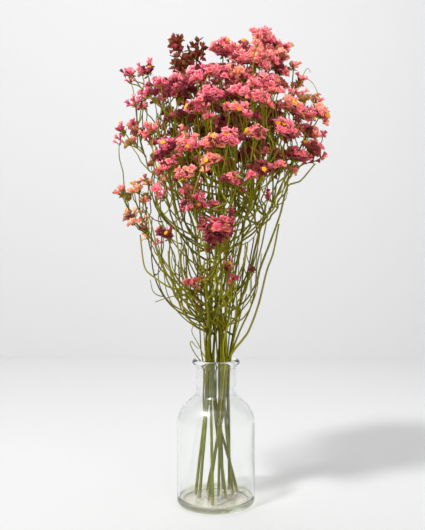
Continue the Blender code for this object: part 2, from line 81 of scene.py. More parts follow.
# the middle (x, y, z) and the radius of each flower cluster of the front, from the top down
clusterList = [
    (55, -5, 557, 16), (70, 22, 556, 12), (12, -5, 547, 16), (34, 15, 553, 11), (28, -35, 527, 12),
    (47, -48, 523, 15), (66, -25, 525, 10), (89, 5, 548, 10), (75, -8, 537, 11), (94, 5, 530, 9),
    (-19, -58, 502, 14), (2, -66, 503, 13), (19, -60, 504, 12), (36, -30, 507, 12), (52, -62, 493, 14),
    (69, -42, 495, 11), (80, -5, 518, 9), (101, 5, 514, 10), (-6, -78, 478, 12), (30, -78, 480, 12),
    (46, -84, 474, 10), (102, -10, 490, 11), (122, 12, 492, 10), (84, -48, 471, 13), (101, -25, 466, 13),
    (127, 5, 474, 13), (73, -66, 442, 14), (110, 0, 448, 12), (113, -18, 426, 12), (92, -42, 415, 12),
    (44, -84, 434, 11), (15, -94, 426, 12), (24, -80, 463, 10), (-3, -84, 423, 12), (-27, -76, 423, 14),
    (-54, -58, 421, 13), (-21, -72, 463, 12), (-73, -38, 447, 12), (-92, -12, 448, 10), (-113, 8, 454, 9),
    (-82, -14, 520, 14), (-103, 8, 523, 8), (-78, -34, 490, 11), (-58, -42, 493, 11), (-40, -54, 486, 11),
    (-41, -18, 528, 11), (-47, 4, 560, 8), (-21, 10, 552, 14), (-55, -60, 401, 10), (-32, -74, 390, 12),
    (-4, -88, 404, 10), (-116, 5, 378, 9), (-92, -14, 379, 11), (-61, -50, 369, 8), (-101, -6, 348, 11),
    (-83, -28, 333, 8), (-56, -48, 324, 12), (4, -72, 327, 18), (12, -45, 286, 10), (15, -84, 383, 10),
    (51, -72, 396, 12), (-26, -30, 270, 5), (41, -25, 284, 5), (-24, -60, 369, 7), (-17, -62, 357, 7),
    (20, -10, 500, 13), (62, 0, 470, 13), (-30, -8, 470, 13), (-62, 6, 505, 12), (78, 8, 420, 12),
    (8, -20, 455, 13), (-60, 2, 420, 12), (40, -8, 420, 12), (-98, 4, 486, 10), (96, 14, 508, 10),
]
brownOnes = (45, 46, 47)  # the clusters of brown bracts with no open flower
lowHeads = 345  # under this height the heads hang below the crown


# vectors made one long
def unit(vector):
    return vector / np.maximum(np.linalg.norm(vector, axis=-1, keepdims=True), 1e-9)


# points along the cubic curve with four controls: the sum of each control times its share of t and 1 - t
def bend(a, b, c, d, count):
    t = np.linspace(0.0, 1.0, count)[:, None]
    return a * (1 - t) ** 3 + 3 * b * t * (1 - t) ** 2 + 3 * c * t * t * (1 - t) + d * t**3


# the level direction away from the bunch's own middle line
def outward(point):
    return unit(np.array((point[0] - bunchAxis, point[1], 0.0)))


# the level direction at an angle: its cosine along x, its sine along y
def levelWay(turn):
    return np.array((np.cos(turn), np.sin(turn), 0.0))


# the angles of the points of a ring, spread evenly over the full turn
def ringAngles(columns):
    return np.arange(columns) * 2 * np.pi / columns


# a grid for each of many bases: the base plus the sum of its directions, each times an amount at every grid point
def gridFrom(base, *parts):
    grid = base[:, None, None]
    for way, amount in parts:
        grid = grid + way[:, None, None] * amount[..., None]
    return grid


# the clusters of the front, then those of the hidden side: front ones mirrored in depth and moved a little
def allClusters(rng):
    front = np.array(clusterList, float)
    front[:, 3] *= bunchSizes["swell"]
    rows = front[(front[:, 1] < -20) & (front[:, 2] > 330)]
    rows = rows[np.argsort(-rows[:, 3], kind="stable")][: bunchSizes["backCount"]]
    back = rows.copy()
    back[:, 0] = rows[:, 0] * 0.86 + rng.uniform(-9, 9, len(rows))
    back[:, 1] = rng.uniform(-10, 6, len(rows)) - rows[:, 1]
    back[:, 2] = rows[:, 2] - rng.uniform(-2, 16, len(rows))
    return np.vstack([front, back])


# lists of clusters that share a spray: the closest pairs join first, brown only with brown
def spraysOf(clusters):
    total = len(clusters)
    spray = np.arange(total)
    apart = np.linalg.norm((clusters[:, None, :3] - clusters[None, :, :3]) * (1, 1, 0.8), axis=2)
    isBrown = np.isin(np.arange(total), brownOnes)
    apart[isBrown[:, None] != isBrown[None, :]] = np.inf
    apart[np.tril_indices(total)] = np.inf
    tops = [top for _, _, top in stalks if top != "back"]
    left = total
    for flat in np.argsort(apart, axis=None, kind="stable"):
        i, j = divmod(int(flat), total)
        if apart[i, j] > bunchSizes["sprayReach"] or left <= bunchSizes["sprayCount"]:
            break
        a, b = spray[i], spray[j]
        members = (spray == a) | (spray == b)
        crowned = sum(spray[top] in (a, b) for top in tops)
        if a == b or members.sum() > bunchSizes["sprayMost"] or crowned > 1:
            continue
        spray[members] = min(a, b)
        left -= 1
    return [np.nonzero(spray == label)[0] for label in np.unique(spray)]


# points, and the rods that run through them: owners 0 to 10 are stalks, and a spray's owner is 11 plus its number
class Bunch:
    def __init__(self):
        self.points = []
        self.hold = []
        self.rods = []
        self.owner = []
        self.kind = []
        self.radii = []

    def add(self, path, owner, kind, radii, root=None, hold=None):
        own = list(path) if root is None else list(path)[1:]
        first = len(self.points)
        self.points += own
        self.hold += [1.0] * len(own) if hold is None else hold
        ids = list(range(first, first + len(own)))
        self.rods.append(ids if root is None else [root] + ids)
        self.owner.append(owner)
        self.kind.append(kind)
        self.radii.append(np.array(radii, float))
        return ids[-1]


# where each spray's twigs part, below its clusters, and the direction it grows in
def sprayBases(clusters, sprays, rng):
    bases, ways = [], []
    for members in sprays:
        mids = clusters[members, :3]
        middle = mids.mean(0)
        spread = np.linalg.norm(mids - middle, axis=1).max()
        lean = min(0.55, np.hypot(middle[0] - bunchAxis, middle[1]) / 140)
        way = unit(up * 0.9 + outward(middle) * lean + rng.normal(0, 0.1, 3))
        lowest = np.array((middle[0], middle[1], mids[:, 2].min()))
        bases.append(lowest - way * (clusters[members, 3].max() + 12 + 0.35 * spread))
        ways.append(way)
    return np.array(bases), np.array(ways)


# the stalks from foot to top, as two cubic curves that meet at the waist
def growTrunks(bunch, sprays, bases, ways, rng):
    waistHeight, (low0, high0) = bunchSizes["waistHeight"], bunchSizes["trunkPoints"]
    behind = np.array([members[0] >= len(clusterList) for members in sprays])
    highest = int(np.argmax(np.where(behind, bases[:, 2] - 0.6 * np.abs(bases[:, 0] - 10), -np.inf)))
    endOf = {}
    for k, (foot, waist, top) in enumerate(stalks):
        s = highest if top == "back" else next(i for i, members in enumerate(sprays) if top in members)
        tip, way = bases[s], ways[s]
        waist = np.array((*waist, waistHeight), float)
        tilt = np.hypot(*(waist[:2] - foot)) / waistHeight
        footHeight = vase["floorTop"] + bunchSizes["footGap"] + bunchSizes["trunkThick"][1][0] * tilt
        foot = np.array((*foot, footHeight), float)
        low, high = np.linalg.norm(waist - foot), np.linalg.norm(tip - waist)
        lower = bend(foot, foot + (waist - foot) * 0.4, waist - up * 0.25 * low, waist, low0)
        lean = unit(unit(waist - foot) * 0.6 + up)
        upper = bend(waist, waist + lean * 0.33 * high, tip - way * 0.36 * high, tip, high0)
        path = np.vstack([lower, upper[1:]])
        path[low0 + 1 : -2, :2] += rng.normal(0, 1.2, (high0 - 4, 2))
        hold = [0.0, 0.2, 0.4, 0.4, 0.3, 0.5, 0.8]
        hold += [1.0] * (len(path) - len(hold))
        endOf[s] = bunch.add(path, k, "trunk", np.interp(path[:, 2], *bunchSizes["trunkThick"]), hold=hold)
    return endOf


# the best place on any stalk for a branch to a tip: near below it, and not on a stalk that is full
def trunkPoint(bunch, tip, load, drop, slope):
    best = (np.inf, 0, bunchSizes["trunkPoints"][0] + 1)
    for k in range(len(stalks)):
        points = np.array([bunch.points[i] for i in bunch.rods[k]])
        for q in range(bunchSizes["trunkPoints"][0], len(points) - 2):
            low = points[q, 2] < bunchSizes["lowestBranch"] or points[q, 2] > tip[2] - 30
            level = np.hypot(*(tip - points[q])[:2])
            miss = abs(points[q, 2] - (tip[2] - drop - slope * level))
            cost = level + 0.25 * miss + bunchSizes["load"] * load[k] + 1000 * low
            if cost < best[0]:
                best = (cost, k, q)
    return best[1:]


# a cubic branch to the base of each spray that has no stalk of its own
def growBranches(bunch, bases, ways, endOf, rng):
    count = bunchSizes["branchPoints"]
    load = np.zeros(len(stalks))
    for s in np.argsort(-bases[:, 2], kind="stable"):
        if s in endOf:
            continue
        tip = bases[s]
        k, q = trunkPoint(bunch, tip, load, 62, 1.15)
        load[k] += 1
        ids = bunch.rods[k]
        start = np.array(bunch.points[ids[q]])
        along = unit(np.array(bunch.points[ids[q + 1]]) - np.array(bunch.points[ids[q - 1]]))
        side = unit((tip - start) * (1, 1, 0))
        span = np.linalg.norm(tip - start)
        flat = np.clip(np.hypot(*(tip - start)[:2]) / max(tip[2] - start[2], 1) - 0.25, 0, 1)
        leave = unit(along * (1 - 0.5 * flat) + side * (0.25 + 0.9 * flat)) * 0.36 * span
        arrive = unit(ways[s] * (1 - flat) + up * (0.4 + flat)) * 0.4 * span
        path = bend(start, start + leave, tip - arrive, tip, count)
        path[2:-2] += rng.normal(0, 0.008 * span, (count - 4, 3))
        thick = min(bunchSizes["branchThick"][0], bunch.radii[k][q] * 0.88)
        radii = np.linspace(thick, bunchSizes["branchThick"][1], count)
        endOf[s] = bunch.add(path, k, "branch", radii, root=ids[q])


# one bare twig low on each stalk, bowed outwards and then up
def growTwigs(bunch, rng):
    count = bunchSizes["twigPoints"]
    for k in range(len(stalks)):
        ids = bunch.rods[k]
        q = bunchSizes["trunkPoints"][0] + 1 + k % 3
        start = np.array(bunch.points[ids[q]])
        turn = np.arctan2(start[1], start[0]) + rng.uniform(-0.9, 0.9)
        side = levelWay(turn)
        reach, rise = rng.uniform(28, 60), rng.uniform(60, 110)
        tip = start + side * reach + up * rise
        path = bend(start, start + side * reach * 0.7 + up * rise * 0.25, tip - up * rise * 0.4, tip, count)
        bunch.add(path, k, "twig", np.linspace(*bunchSizes["twigThick"], count), root=ids[q])


# the twigs inside each spray, one to each cluster: (rod, cluster, spray) for each
def growForks(bunch, clusters, sprays, ways, endOf):
    heads = []
    for s, members in enumerate(sprays):
        base = np.array(bunch.points[endOf[s]])
        neck = base + ways[s] * bunchSizes["stub"]
        for c in members:
            middle = clusters[c, :3]
            reach = np.linalg.norm(middle - neck)
            leave = unit(ways[s] + unit(middle - neck)) * 0.35 * reach
            arrive = unit(up + unit(middle - neck)) * 0.4 * reach
            rest = bend(neck, neck + leave, middle - arrive, middle, bunchSizes["forkPoints"])
            path = np.vstack([base, rest])
            bunch.add(path, len(stalks) + s, "fork", [bunchSizes["forkThick"]] * len(path), root=endOf[s])
            heads.append((len(bunch.rods) - 1, c, s))
    return heads


# where segments p-q and r-s come closest: the share along each, and the step from the second to the first
def nearest(p, q, r, s):
    u, v, w = q - p, s - r, p - r
    a, b, c = (u * u).sum(1), (u * v).sum(1), (v * v).sum(1)
    d, e = (u * w).sum(1), (v * w).sum(1)
    det = a * c - b * b
    first = np.clip(np.where(det > 1e-9, (b * e - c * d) / np.maximum(det, 1e-9), 0.5), 0, 1)
    second = np.clip((b * first + e) / np.maximum(c, 1e-9), 0, 1)
    first = np.clip((b * second - d) / np.maximum(a, 1e-9), 0, 1)
    return first, second, w + u * first[:, None] - v * second[:, None]


# how far to move along each gap, for the part of the clearance that is missing
def pushOf(gap, room, share):
    dist = np.linalg.norm(gap, axis=-1, keepdims=True)
    way = np.where(dist > 1e-6, gap / np.maximum(dist, 1e-6), (0.0, 1.0, 0.0))
    return way * (np.maximum(bunchSizes["clearance"] - room, 0) * share)[..., None]


# moves the points apart, a little each round, until no rod or cluster touches another solid's
def settle(bunch, clusters, heads):
    home = np.array(bunch.points, float)
    at = home.copy()
    hold = np.array(bunch.hold)[:, None]
    one = np.concatenate([ids[:-1] for ids in bunch.rods])
    two = np.concatenate([ids[1:] for ids in bunch.rods])
    owner = np.concatenate([[own] * (len(ids) - 1) for own, ids in zip(bunch.owner, bunch.rods)])
    thick = np.concatenate([np.maximum(radii[:-1], radii[1:]) for radii in bunch.radii])
    ball = np.array([bunch.rods[rod][-1] for rod, _, _ in heads])
    below = np.array([bunch.rods[rod][-2] for rod, _, _ in heads])
    size = np.array([clusters[c, 3] for _, c, _ in heads])
    ballOwner = np.array([len(stalks) + s for _, _, s in heads])
    joinedEnds = (one[:, None] == one) | (one[:, None] == two) | (two[:, None] == one) | (two[:, None] == two)
    rodPairs = (owner[:, None] < owner) & ~joinedEnds
    ballPairs = owner[:, None] != ballOwner
    same = ballOwner[:, None] == ballOwner
    for turn in range(bunchSizes["rounds"]):
        if turn % 10 == 0:
            mid = (at[one] + at[two]) / 2
            half = np.linalg.norm(at[one] - at[two], axis=1) / 2
            apart = np.linalg.norm(mid[:, None] - mid, axis=2) - half[:, None] - half
            i, j = np.nonzero(rodPairs & (apart < 8))
            apart = np.linalg.norm(mid[:, None] - at[ball], axis=2) - half[:, None] - size
            m, n = np.nonzero(ballPairs & (apart < 10))
        move = np.zeros_like(at)
        s, t, gap = nearest(at[one[i]], at[two[i]], at[one[j]], at[two[j]])
        push = pushOf(gap, np.linalg.norm(gap, axis=1) - thick[i] - thick[j], 0.55)
        for ids, part in ((one[i], 1 - s), (two[i], s), (one[j], t - 1), (two[j], -t)):
            np.add.at(move, ids, push * part[:, None])
        s, _, gap = nearest(at[one[m]], at[two[m]], at[ball[n]], at[ball[n]] + 1e-3)
        push = pushOf(gap, np.linalg.norm(gap, axis=1) - thick[m] - size[n], 0.5)
        shares = ((one[m], 1.3 - 1.3 * s), (two[m], 1.3 * s), (ball[n], s * 0 - 0.35), (below[n], s * 0 - 0.25))
        for ids, part in shares:
            np.add.at(move, ids, push * part[:, None])
        gap = at[ball][:, None] - at[ball]
        room = np.where(same, np.inf, np.linalg.norm(gap, axis=2) - size[:, None] - size)
        push = pushOf(gap, room, 0.35).sum(1) * (0.6, 1.0, 0.6)
        np.add.at(move, ball, push)
        np.add.at(move, below, push * 0.6)
        move *= np.minimum(1, 2.5 / np.maximum(np.linalg.norm(move, axis=1, keepdims=True), 1e-9))
        step = at + move * hold - home
        # each point follows its neighbours a little, so that a rod bends and doesn't kink
        total, count = np.zeros_like(at), np.zeros(len(at))
        for ids, other in ((one, two), (two, one)):
            np.add.at(total, ids, step[other])
            np.add.at(count, ids, 1)
        ease = 0.03 if turn > bunchSizes["rounds"] - 50 else 0.16
        step += (total / count[:, None] - step) * ease * (hold > 0)
        at = home + step
    return at


# smooth paths through every control point: the Catmull-Rom cubic between each pair, for many paths at once
def smoothPaths(points, count):
    ends = np.stack([2 * points[:, 0] - points[:, 1], 2 * points[:, -1] - points[:, -2]], axis=1)
    row = np.concatenate([ends[:, :1], points, ends[:, 1:]], axis=1)
    t = np.linspace(0.0, points.shape[1] - 1.0, count)
    i = np.minimum(t.astype(int), points.shape[1] - 2)
    f = (t - i)[:, None]
    a, b, c, d = row[:, i], row[:, i + 1], row[:, i + 2], row[:, i + 3]
    return 0.5 * (2 * b + (c - a) * f + (2 * a - 5 * b + 4 * c - d) * f**2 + (3 * b - a - 3 * c + d) * f**3)


# numbers between the control points' own, on the same spacing as smoothPaths
def spreadAlong(values, count):
    t = np.linspace(0.0, values.shape[1] - 1.0, count)
    return np.array([np.interp(t, np.arange(values.shape[1]), row) for row in values])


# one mesh gathered from many closed grids, with a number for each point in every field
class Pile:
    fields = ("leaf", "gold", "rise", "hue", "tone", "rib")

    def __init__(self):
        self.points = []
        self.faces = []
        self.values = {field: [] for field in self.fields}
        self.grain = []
        self.count = 0

    # grid [copies, rows, columns, 3]: closed round its columns, with a cap on its first and its last row. A field's
    # value is one number, one for each copy, or one for each point of the grid.
    def wrap(self, grid, grain=None, **values):
        copies, rows, columns, _ = grid.shape
        ids = self.count + np.arange(copies * rows * columns).reshape(copies, rows, columns)
        beside = np.roll(ids, -1, axis=2)
        quads = np.stack([ids[:, :-1], beside[:, :-1], beside[:, 1:], ids[:, 1:]], axis=-1)
        self.faces += [quads.reshape(-1, 4), ids[:, 0, ::-1], ids[:, -1]]
        self.points.append(grid.reshape(-1, 3))
        grain = grid * 0.1 if grain is None else grain
        self.grain.append(grain.reshape(-1, 3))
        for field in self.fields:
            value = np.asarray(values.get(field, 0.0))
            value = value[:, None, None] if value.ndim == 1 else value
            self.values[field].append(np.broadcast_to(value, grid.shape[:3]).reshape(-1))
        self.count += copies * rows * columns

    # the mesh object, its points in metres and its shading smooth
    def make(self, name, look, slot, *nodes):
        points = np.concatenate(self.points) * mm
        widths = np.concatenate([np.full(len(group), group.shape[1]) for group in self.faces])
        corners = np.concatenate([group.ravel() for group in self.faces])
        mesh = bpy.data.meshes.new(name)
        mesh.vertices.add(len(points))
        mesh.vertices.foreach_set("co", points.astype(np.float32).ravel())
        mesh.loops.add(len(corners))
        mesh.loops.foreach_set("vertex_index", corners.astype(np.int32))
        mesh.polygons.add(len(widths))
        mesh.polygons.foreach_set("loop_start", (np.cumsum(widths) - widths).astype(np.int32))
        mesh.polygons.foreach_set("use_smooth", np.ones(len(widths), bool))
        mesh.update(calc_edges=True)
        for field in self.fields:
            made = mesh.attributes.new(field, "FLOAT", "POINT")
            made.data.foreach_set("value", np.concatenate(self.values[field]).astype(np.float32))
        made = mesh.attributes.new("grain", "FLOAT_VECTOR", "POINT")
        made.data.foreach_set("vector", np.concatenate(self.grain).astype(np.float32).ravel())
        mesh.materials.append(look)
        piece = bpy.data.objects.new(name, mesh)
        bpy.context.scene.collection.objects.link(piece)
        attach(piece, "root")
        if nodes:
            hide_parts(*nodes)


# two axes across each direction: the first also at right angles to a fixed line, the second to both
def sidesOf(ways):
    side = unit(np.cross(ways, (0.2, 1.0, 0.3)))
    return side, np.cross(ways, side)


# round tubes along one path or many: at each row a ring whose radius is the row's own, times 1 plus a cosine of three
# times the angle for its low ribs, which turn slowly along the tube
def addTubes(pile, paths, radii, columns, rng, ribs=0.0, **values):
    paths = paths.reshape(-1, *paths.shape[-2:])
    copies, rows, _ = paths.shape
    radii = np.broadcast_to(radii, (copies, rows))
    tangent = unit(np.gradient(paths, axis=1))
    # each ring lies across the tangent, and starts from the axis that the path's directions keep furthest from
    most = np.abs(tangent).max(axis=1)
    side = unit(np.cross(tangent, np.eye(3)[np.argmin(most, axis=1)][:, None]))
    other = np.cross(tangent, side)
    theta = ringAngles(columns)
    length = np.linalg.norm(np.diff(paths, axis=1), axis=2).cumsum(axis=1)
    length = np.concatenate([np.zeros((copies, 1)), length], axis=1)[:, :, None]
    twist = rng.uniform(0, 6.3, (copies, 1, 1)) + length * 0.02
    swell = 1 + ribs * np.cos(3 * theta + twist)
    ring = side[:, :, None] * np.cos(theta)[:, None] + other[:, :, None] * np.sin(theta)[:, None]
    grid = paths[:, :, None] + ring * (radii[:, :, None] * swell)[..., None]
    # the grain runs round the tube in two of its numbers and along it, from a place of its own, in the third
    start = rng.uniform(0, 400, (copies, 1, 1))
    grain = np.stack(np.broadcast_arrays(np.cos(theta), np.sin(theta), length + start), axis=-1)
    pile.wrap(grid, grain, leaf=1.0, rise=np.clip(grid[..., 2] / 600, 0, 1), **values)


# thin stems: tubes along smooth paths, their radius going evenly from the first of the two ends to the second
def addStems(pile, controls, rows, ends, columns, rng, ribs=0.0, **values):
    paths = smoothPaths(controls, rows)
    addTubes(pile, paths, np.linspace(*ends, rows), columns, rng, ribs, **values)
    return paths


floret = {
    "columns": 15, "lobes": 0.2, "crumple": 0.18, "squash": (0.42, 0.95),
    # of each ring: its radius and height, how far it has the rim's lobes and crumples, and the rise that colours it
    "rings": ((0.15, 0.0, 0.0, 0.0), (0.5, 0.5, 0.35, 0.6), (1.0, 1.0, 1.0, 1.0), (0.6, 0.88, 0.8, 0.62),
              (0.12, 0.5, 0.2, 0.15)),
}


# papery calyces: a funnel of five lobes, out to a crumpled rim and back down inside to its throat.
# Each ring's radius is its share of the mouth, times 1 plus a cosine of five times the angle at the rim.
def addFlorets(pile, base, way, mouth, length, rng, **values):
    copies, columns = len(base), floret["columns"]
    radius, height, atRim, rise = np.array(floret["rings"]).T[..., None]
    theta = ringAngles(columns)
    wave = np.cos(5 * theta + 1.05)
    lobes = 1 + floret["lobes"] * atRim * wave
    crumple = 1 + floret["crumple"] * atRim * rng.normal(0, 1, (copies, 1, columns))
    lift = floret["crumple"] * atRim * rng.normal(0, 1.2, (copies, 1, columns))
    turn = rng.uniform(0, 6.3, (copies, 1, 1)) + theta
    side, other = sidesOf(way)
    mouth = mouth[:, None, None]
    flat = radius * lobes * crumple * mouth
    tall = height * length[:, None, None] + lift * mouth * radius
    # the mouth is squashed one way, as dried ones are
    squash = rng.uniform(*floret["squash"], (copies, 1, 1))
    grid = gridFrom(base, (side, flat * np.cos(turn)), (other, flat * np.sin(turn) * squash), (way, tall))
    pile.wrap(grid, rise=rise, rib=wave[None], **values)


corolla = {
    "columns": 10, "crumple": 0.08,
    # of each ring: its radius and its height, the depth of its lobes, and the rise that colours it
    "rings": ((0.3, -0.9, 0.0, 0.0), (1.0, 0.25, 0.22, 1.0), (0.4, -0.05, 0.0, 0.4)),
}


# the small yellow flower in a calyx: a dish on a short tube, with five lobes as the calyx has them
def addCorollas(pile, middle, way, size, rng):
    copies, columns = len(middle), corolla["columns"]
    radius, height, lobes, rise = np.array(corolla["rings"]).T[..., None]
    theta = ringAngles(columns)
    radius = radius * (1 + lobes * np.cos(5 * theta))
    height = height + rng.normal(0, corolla["crumple"], (copies, 1, columns))
    side, other = sidesOf(way)
    turn = rng.uniform(0, 6.3, (copies, 1, 1)) + theta
    size = size[:, None, None]
    flat = radius * size
    grid = gridFrom(middle, (side, flat * np.cos(turn)), (other, flat * np.sin(turn)), (way, height * size))
    pile.wrap(grid, gold=1.0, rise=rise, tone=rng.uniform(0, 1, copies))


# how far along it each row of a bract is, how wide it is there, how thick for its width, and how far it may curl
bract = {
    "columns": 6, "along": (0.0, 0.2, 0.5, 0.8, 1.0), "wide": (0.35, 0.85, 1.0, 0.5, 0.04), "thick": 0.22,
    "curl": (-0.1, 0.35),
}


# lance-shaped bracts: a flat oval section that widens and then narrows to a point, and a middle line that leaves the
# straight by the square of the distance along it
def addBracts(pile, base, way, length, width, rng, **values):
    copies, v = len(base), np.array(bract["along"])
    theta = ringAngles(bract["columns"])
    wide = (np.array(bract["wide"]) * width[:, None])[..., None]
    side, other = sidesOf(way)
    turn = rng.uniform(0, 6.3, (copies, 1))
    face = side * np.cos(turn) + other * np.sin(turn)
    broad = np.cross(way, face)
    curl = (rng.uniform(*bract["curl"], (copies, 1)) * v**2 * length[:, None])[..., None]
    x, y = wide * np.cos(theta), wide * bract["thick"] * np.sin(theta) + curl
    grid = gridFrom(base, (way, (v * length[:, None])[..., None]), (broad, -x), (face, y))
    pile.wrap(grid, rise=v[:, None], **values)


# directions spread evenly round an axis by the golden angle, from close to it down to where their share along it is
# 1 less the depth, each then turned a little by chance
def spreadWays(axis, count, rng, depth=1.45):
    side, other = sidesOf(axis)
    f = np.arange(count)
    level = 1 - depth * (f + 0.4) / count
    turn = rng.uniform(0, 2 * np.pi) + f * np.pi * (3 - np.sqrt(5))
    flat = np.sqrt(1 - level * level)
    ways = axis * level[:, None] + (side * np.cos(turn)[:, None] + other * np.sin(turn)[:, None]) * flat[:, None]
    return unit(ways + rng.normal(0, 0.12, ways.shape))


# a share from 0 to 1 as a value goes from its low end over a span
def shareOf(value, low, span):
    return np.clip((value - low) / span, 0, 1)


# the hue of heads from magenta (0) to peach (1), and what it gains in places. Low in the middle it is dusky.
headHue = {
    "base": 0.31, "upperRight": 0.2, "lowerLeft": 0.5, "crownFoot": 0.16, "lowRight": 0.1, "spread": 0.13,
    "dusky": 0.5, "duskySpread": 0.4,
}
# how bright heads are deep inside the bunch, as painted shade, what they gain at the upper right and, as painted
# light, on the bunch's own surface, and what they lose at the top of the low heads, low on the right, and on a few
# others
headTone = {
    "base": 0.11, "paintedShellLight": 0.5, "upperRight": 0.28, "lowTop": 0.42, "lowRight": 0.3, "odd": 0.25, "oddShare": 0.16,
    "spread": 0.15, "range": (0.08, 0.98),
}


# how far towards peach (1) or magenta (0) a cluster is, by its place and a little chance
def hueOf(middle, rng):
    x, _, z = middle
    hue = headHue["base"] + headHue["upperRight"] * shareOf(x, -10, 70) * shareOf(z, 380, 60)
    hue += headHue["lowerLeft"] * (x < -70 and z < 400)
    hue += headHue["crownFoot"] * (abs(x - 5) < 45 and abs(z - 415) < 25)
    hue += headHue["lowRight"] * (x > 15 and z < 430)
    noise = rng.normal(0, headHue["spread"])
    lowMiddle = abs(x) < 45 and z < lowHeads
    return headHue["dusky"] + headHue["duskySpread"] * noise if lowMiddle else hue + noise


# how bright a cluster's calyces are, by its place and a little chance: painted shade deep inside the bunch, and
# painted light towards its own surface, an ellipsoid
def toneOf(middle, rng):
    x, y, z = middle
    # the depth that painted shade and painted light follow: 0 at the bunch's middle, 1 on its surface
    paintedShellLight = ((x - bunchAxis) / 118) ** 2 + (y / 84) ** 2 + ((z - 430) / 140) ** 2
    crest = shareOf(x, -30, 60) * shareOf(z, 420, 60)
    dull = headTone["odd"] * (rng.uniform() < headTone["oddShare"])
    dull += headTone["lowTop"] * (head["drooping"] < z < lowHeads)
    dull += headTone["lowRight"] * (x > 15 and head["drooping"] < z < 430)
    tone = headTone["base"] + headTone["paintedShellLight"] * min(paintedShellLight, 1.1) + headTone["upperRight"] * crest
    return np.clip(tone - dull + rng.normal(0, headTone["spread"]), *headTone["range"])


# feet moved back so that no mouth, a step further on, passes the CAD box by more than a little
def inBox(foot, step, reach):
    low, high = np.array(cadBox[0]) / mm, np.array(cadBox[1]) / mm
    reach = np.reshape(reach, (-1, 1)) * (1, 1, 0.6)
    place = foot + step
    return foot + np.clip(place, low - 1 + reach, high + 1 - reach) - place


# a head of calyces: how many spikes for its radius, the gap between calyces along them, their mouths and lengths, how
# much longer its crest is and how much painted light lightens its top, and the shares of golden, dry and green ones.
# Heads under the height of drooping are narrow.
head = {
    "spikes": 1 / 2.3, "gap": 1.9, "mouth": (3.5, 5.2), "length": (4.9, 6.8), "long": 0.32,
    "paintedTopLight": 0.52, "goldShare": 0.09, "dryShare": 0.08, "greenShare": 0.02, "sides": 2, "sideCalyces": 5,
    "sparse": 0.72, "drooping": 300, "lowNarrow": (0.55, 0.55, 1.1), "green": 6,
}


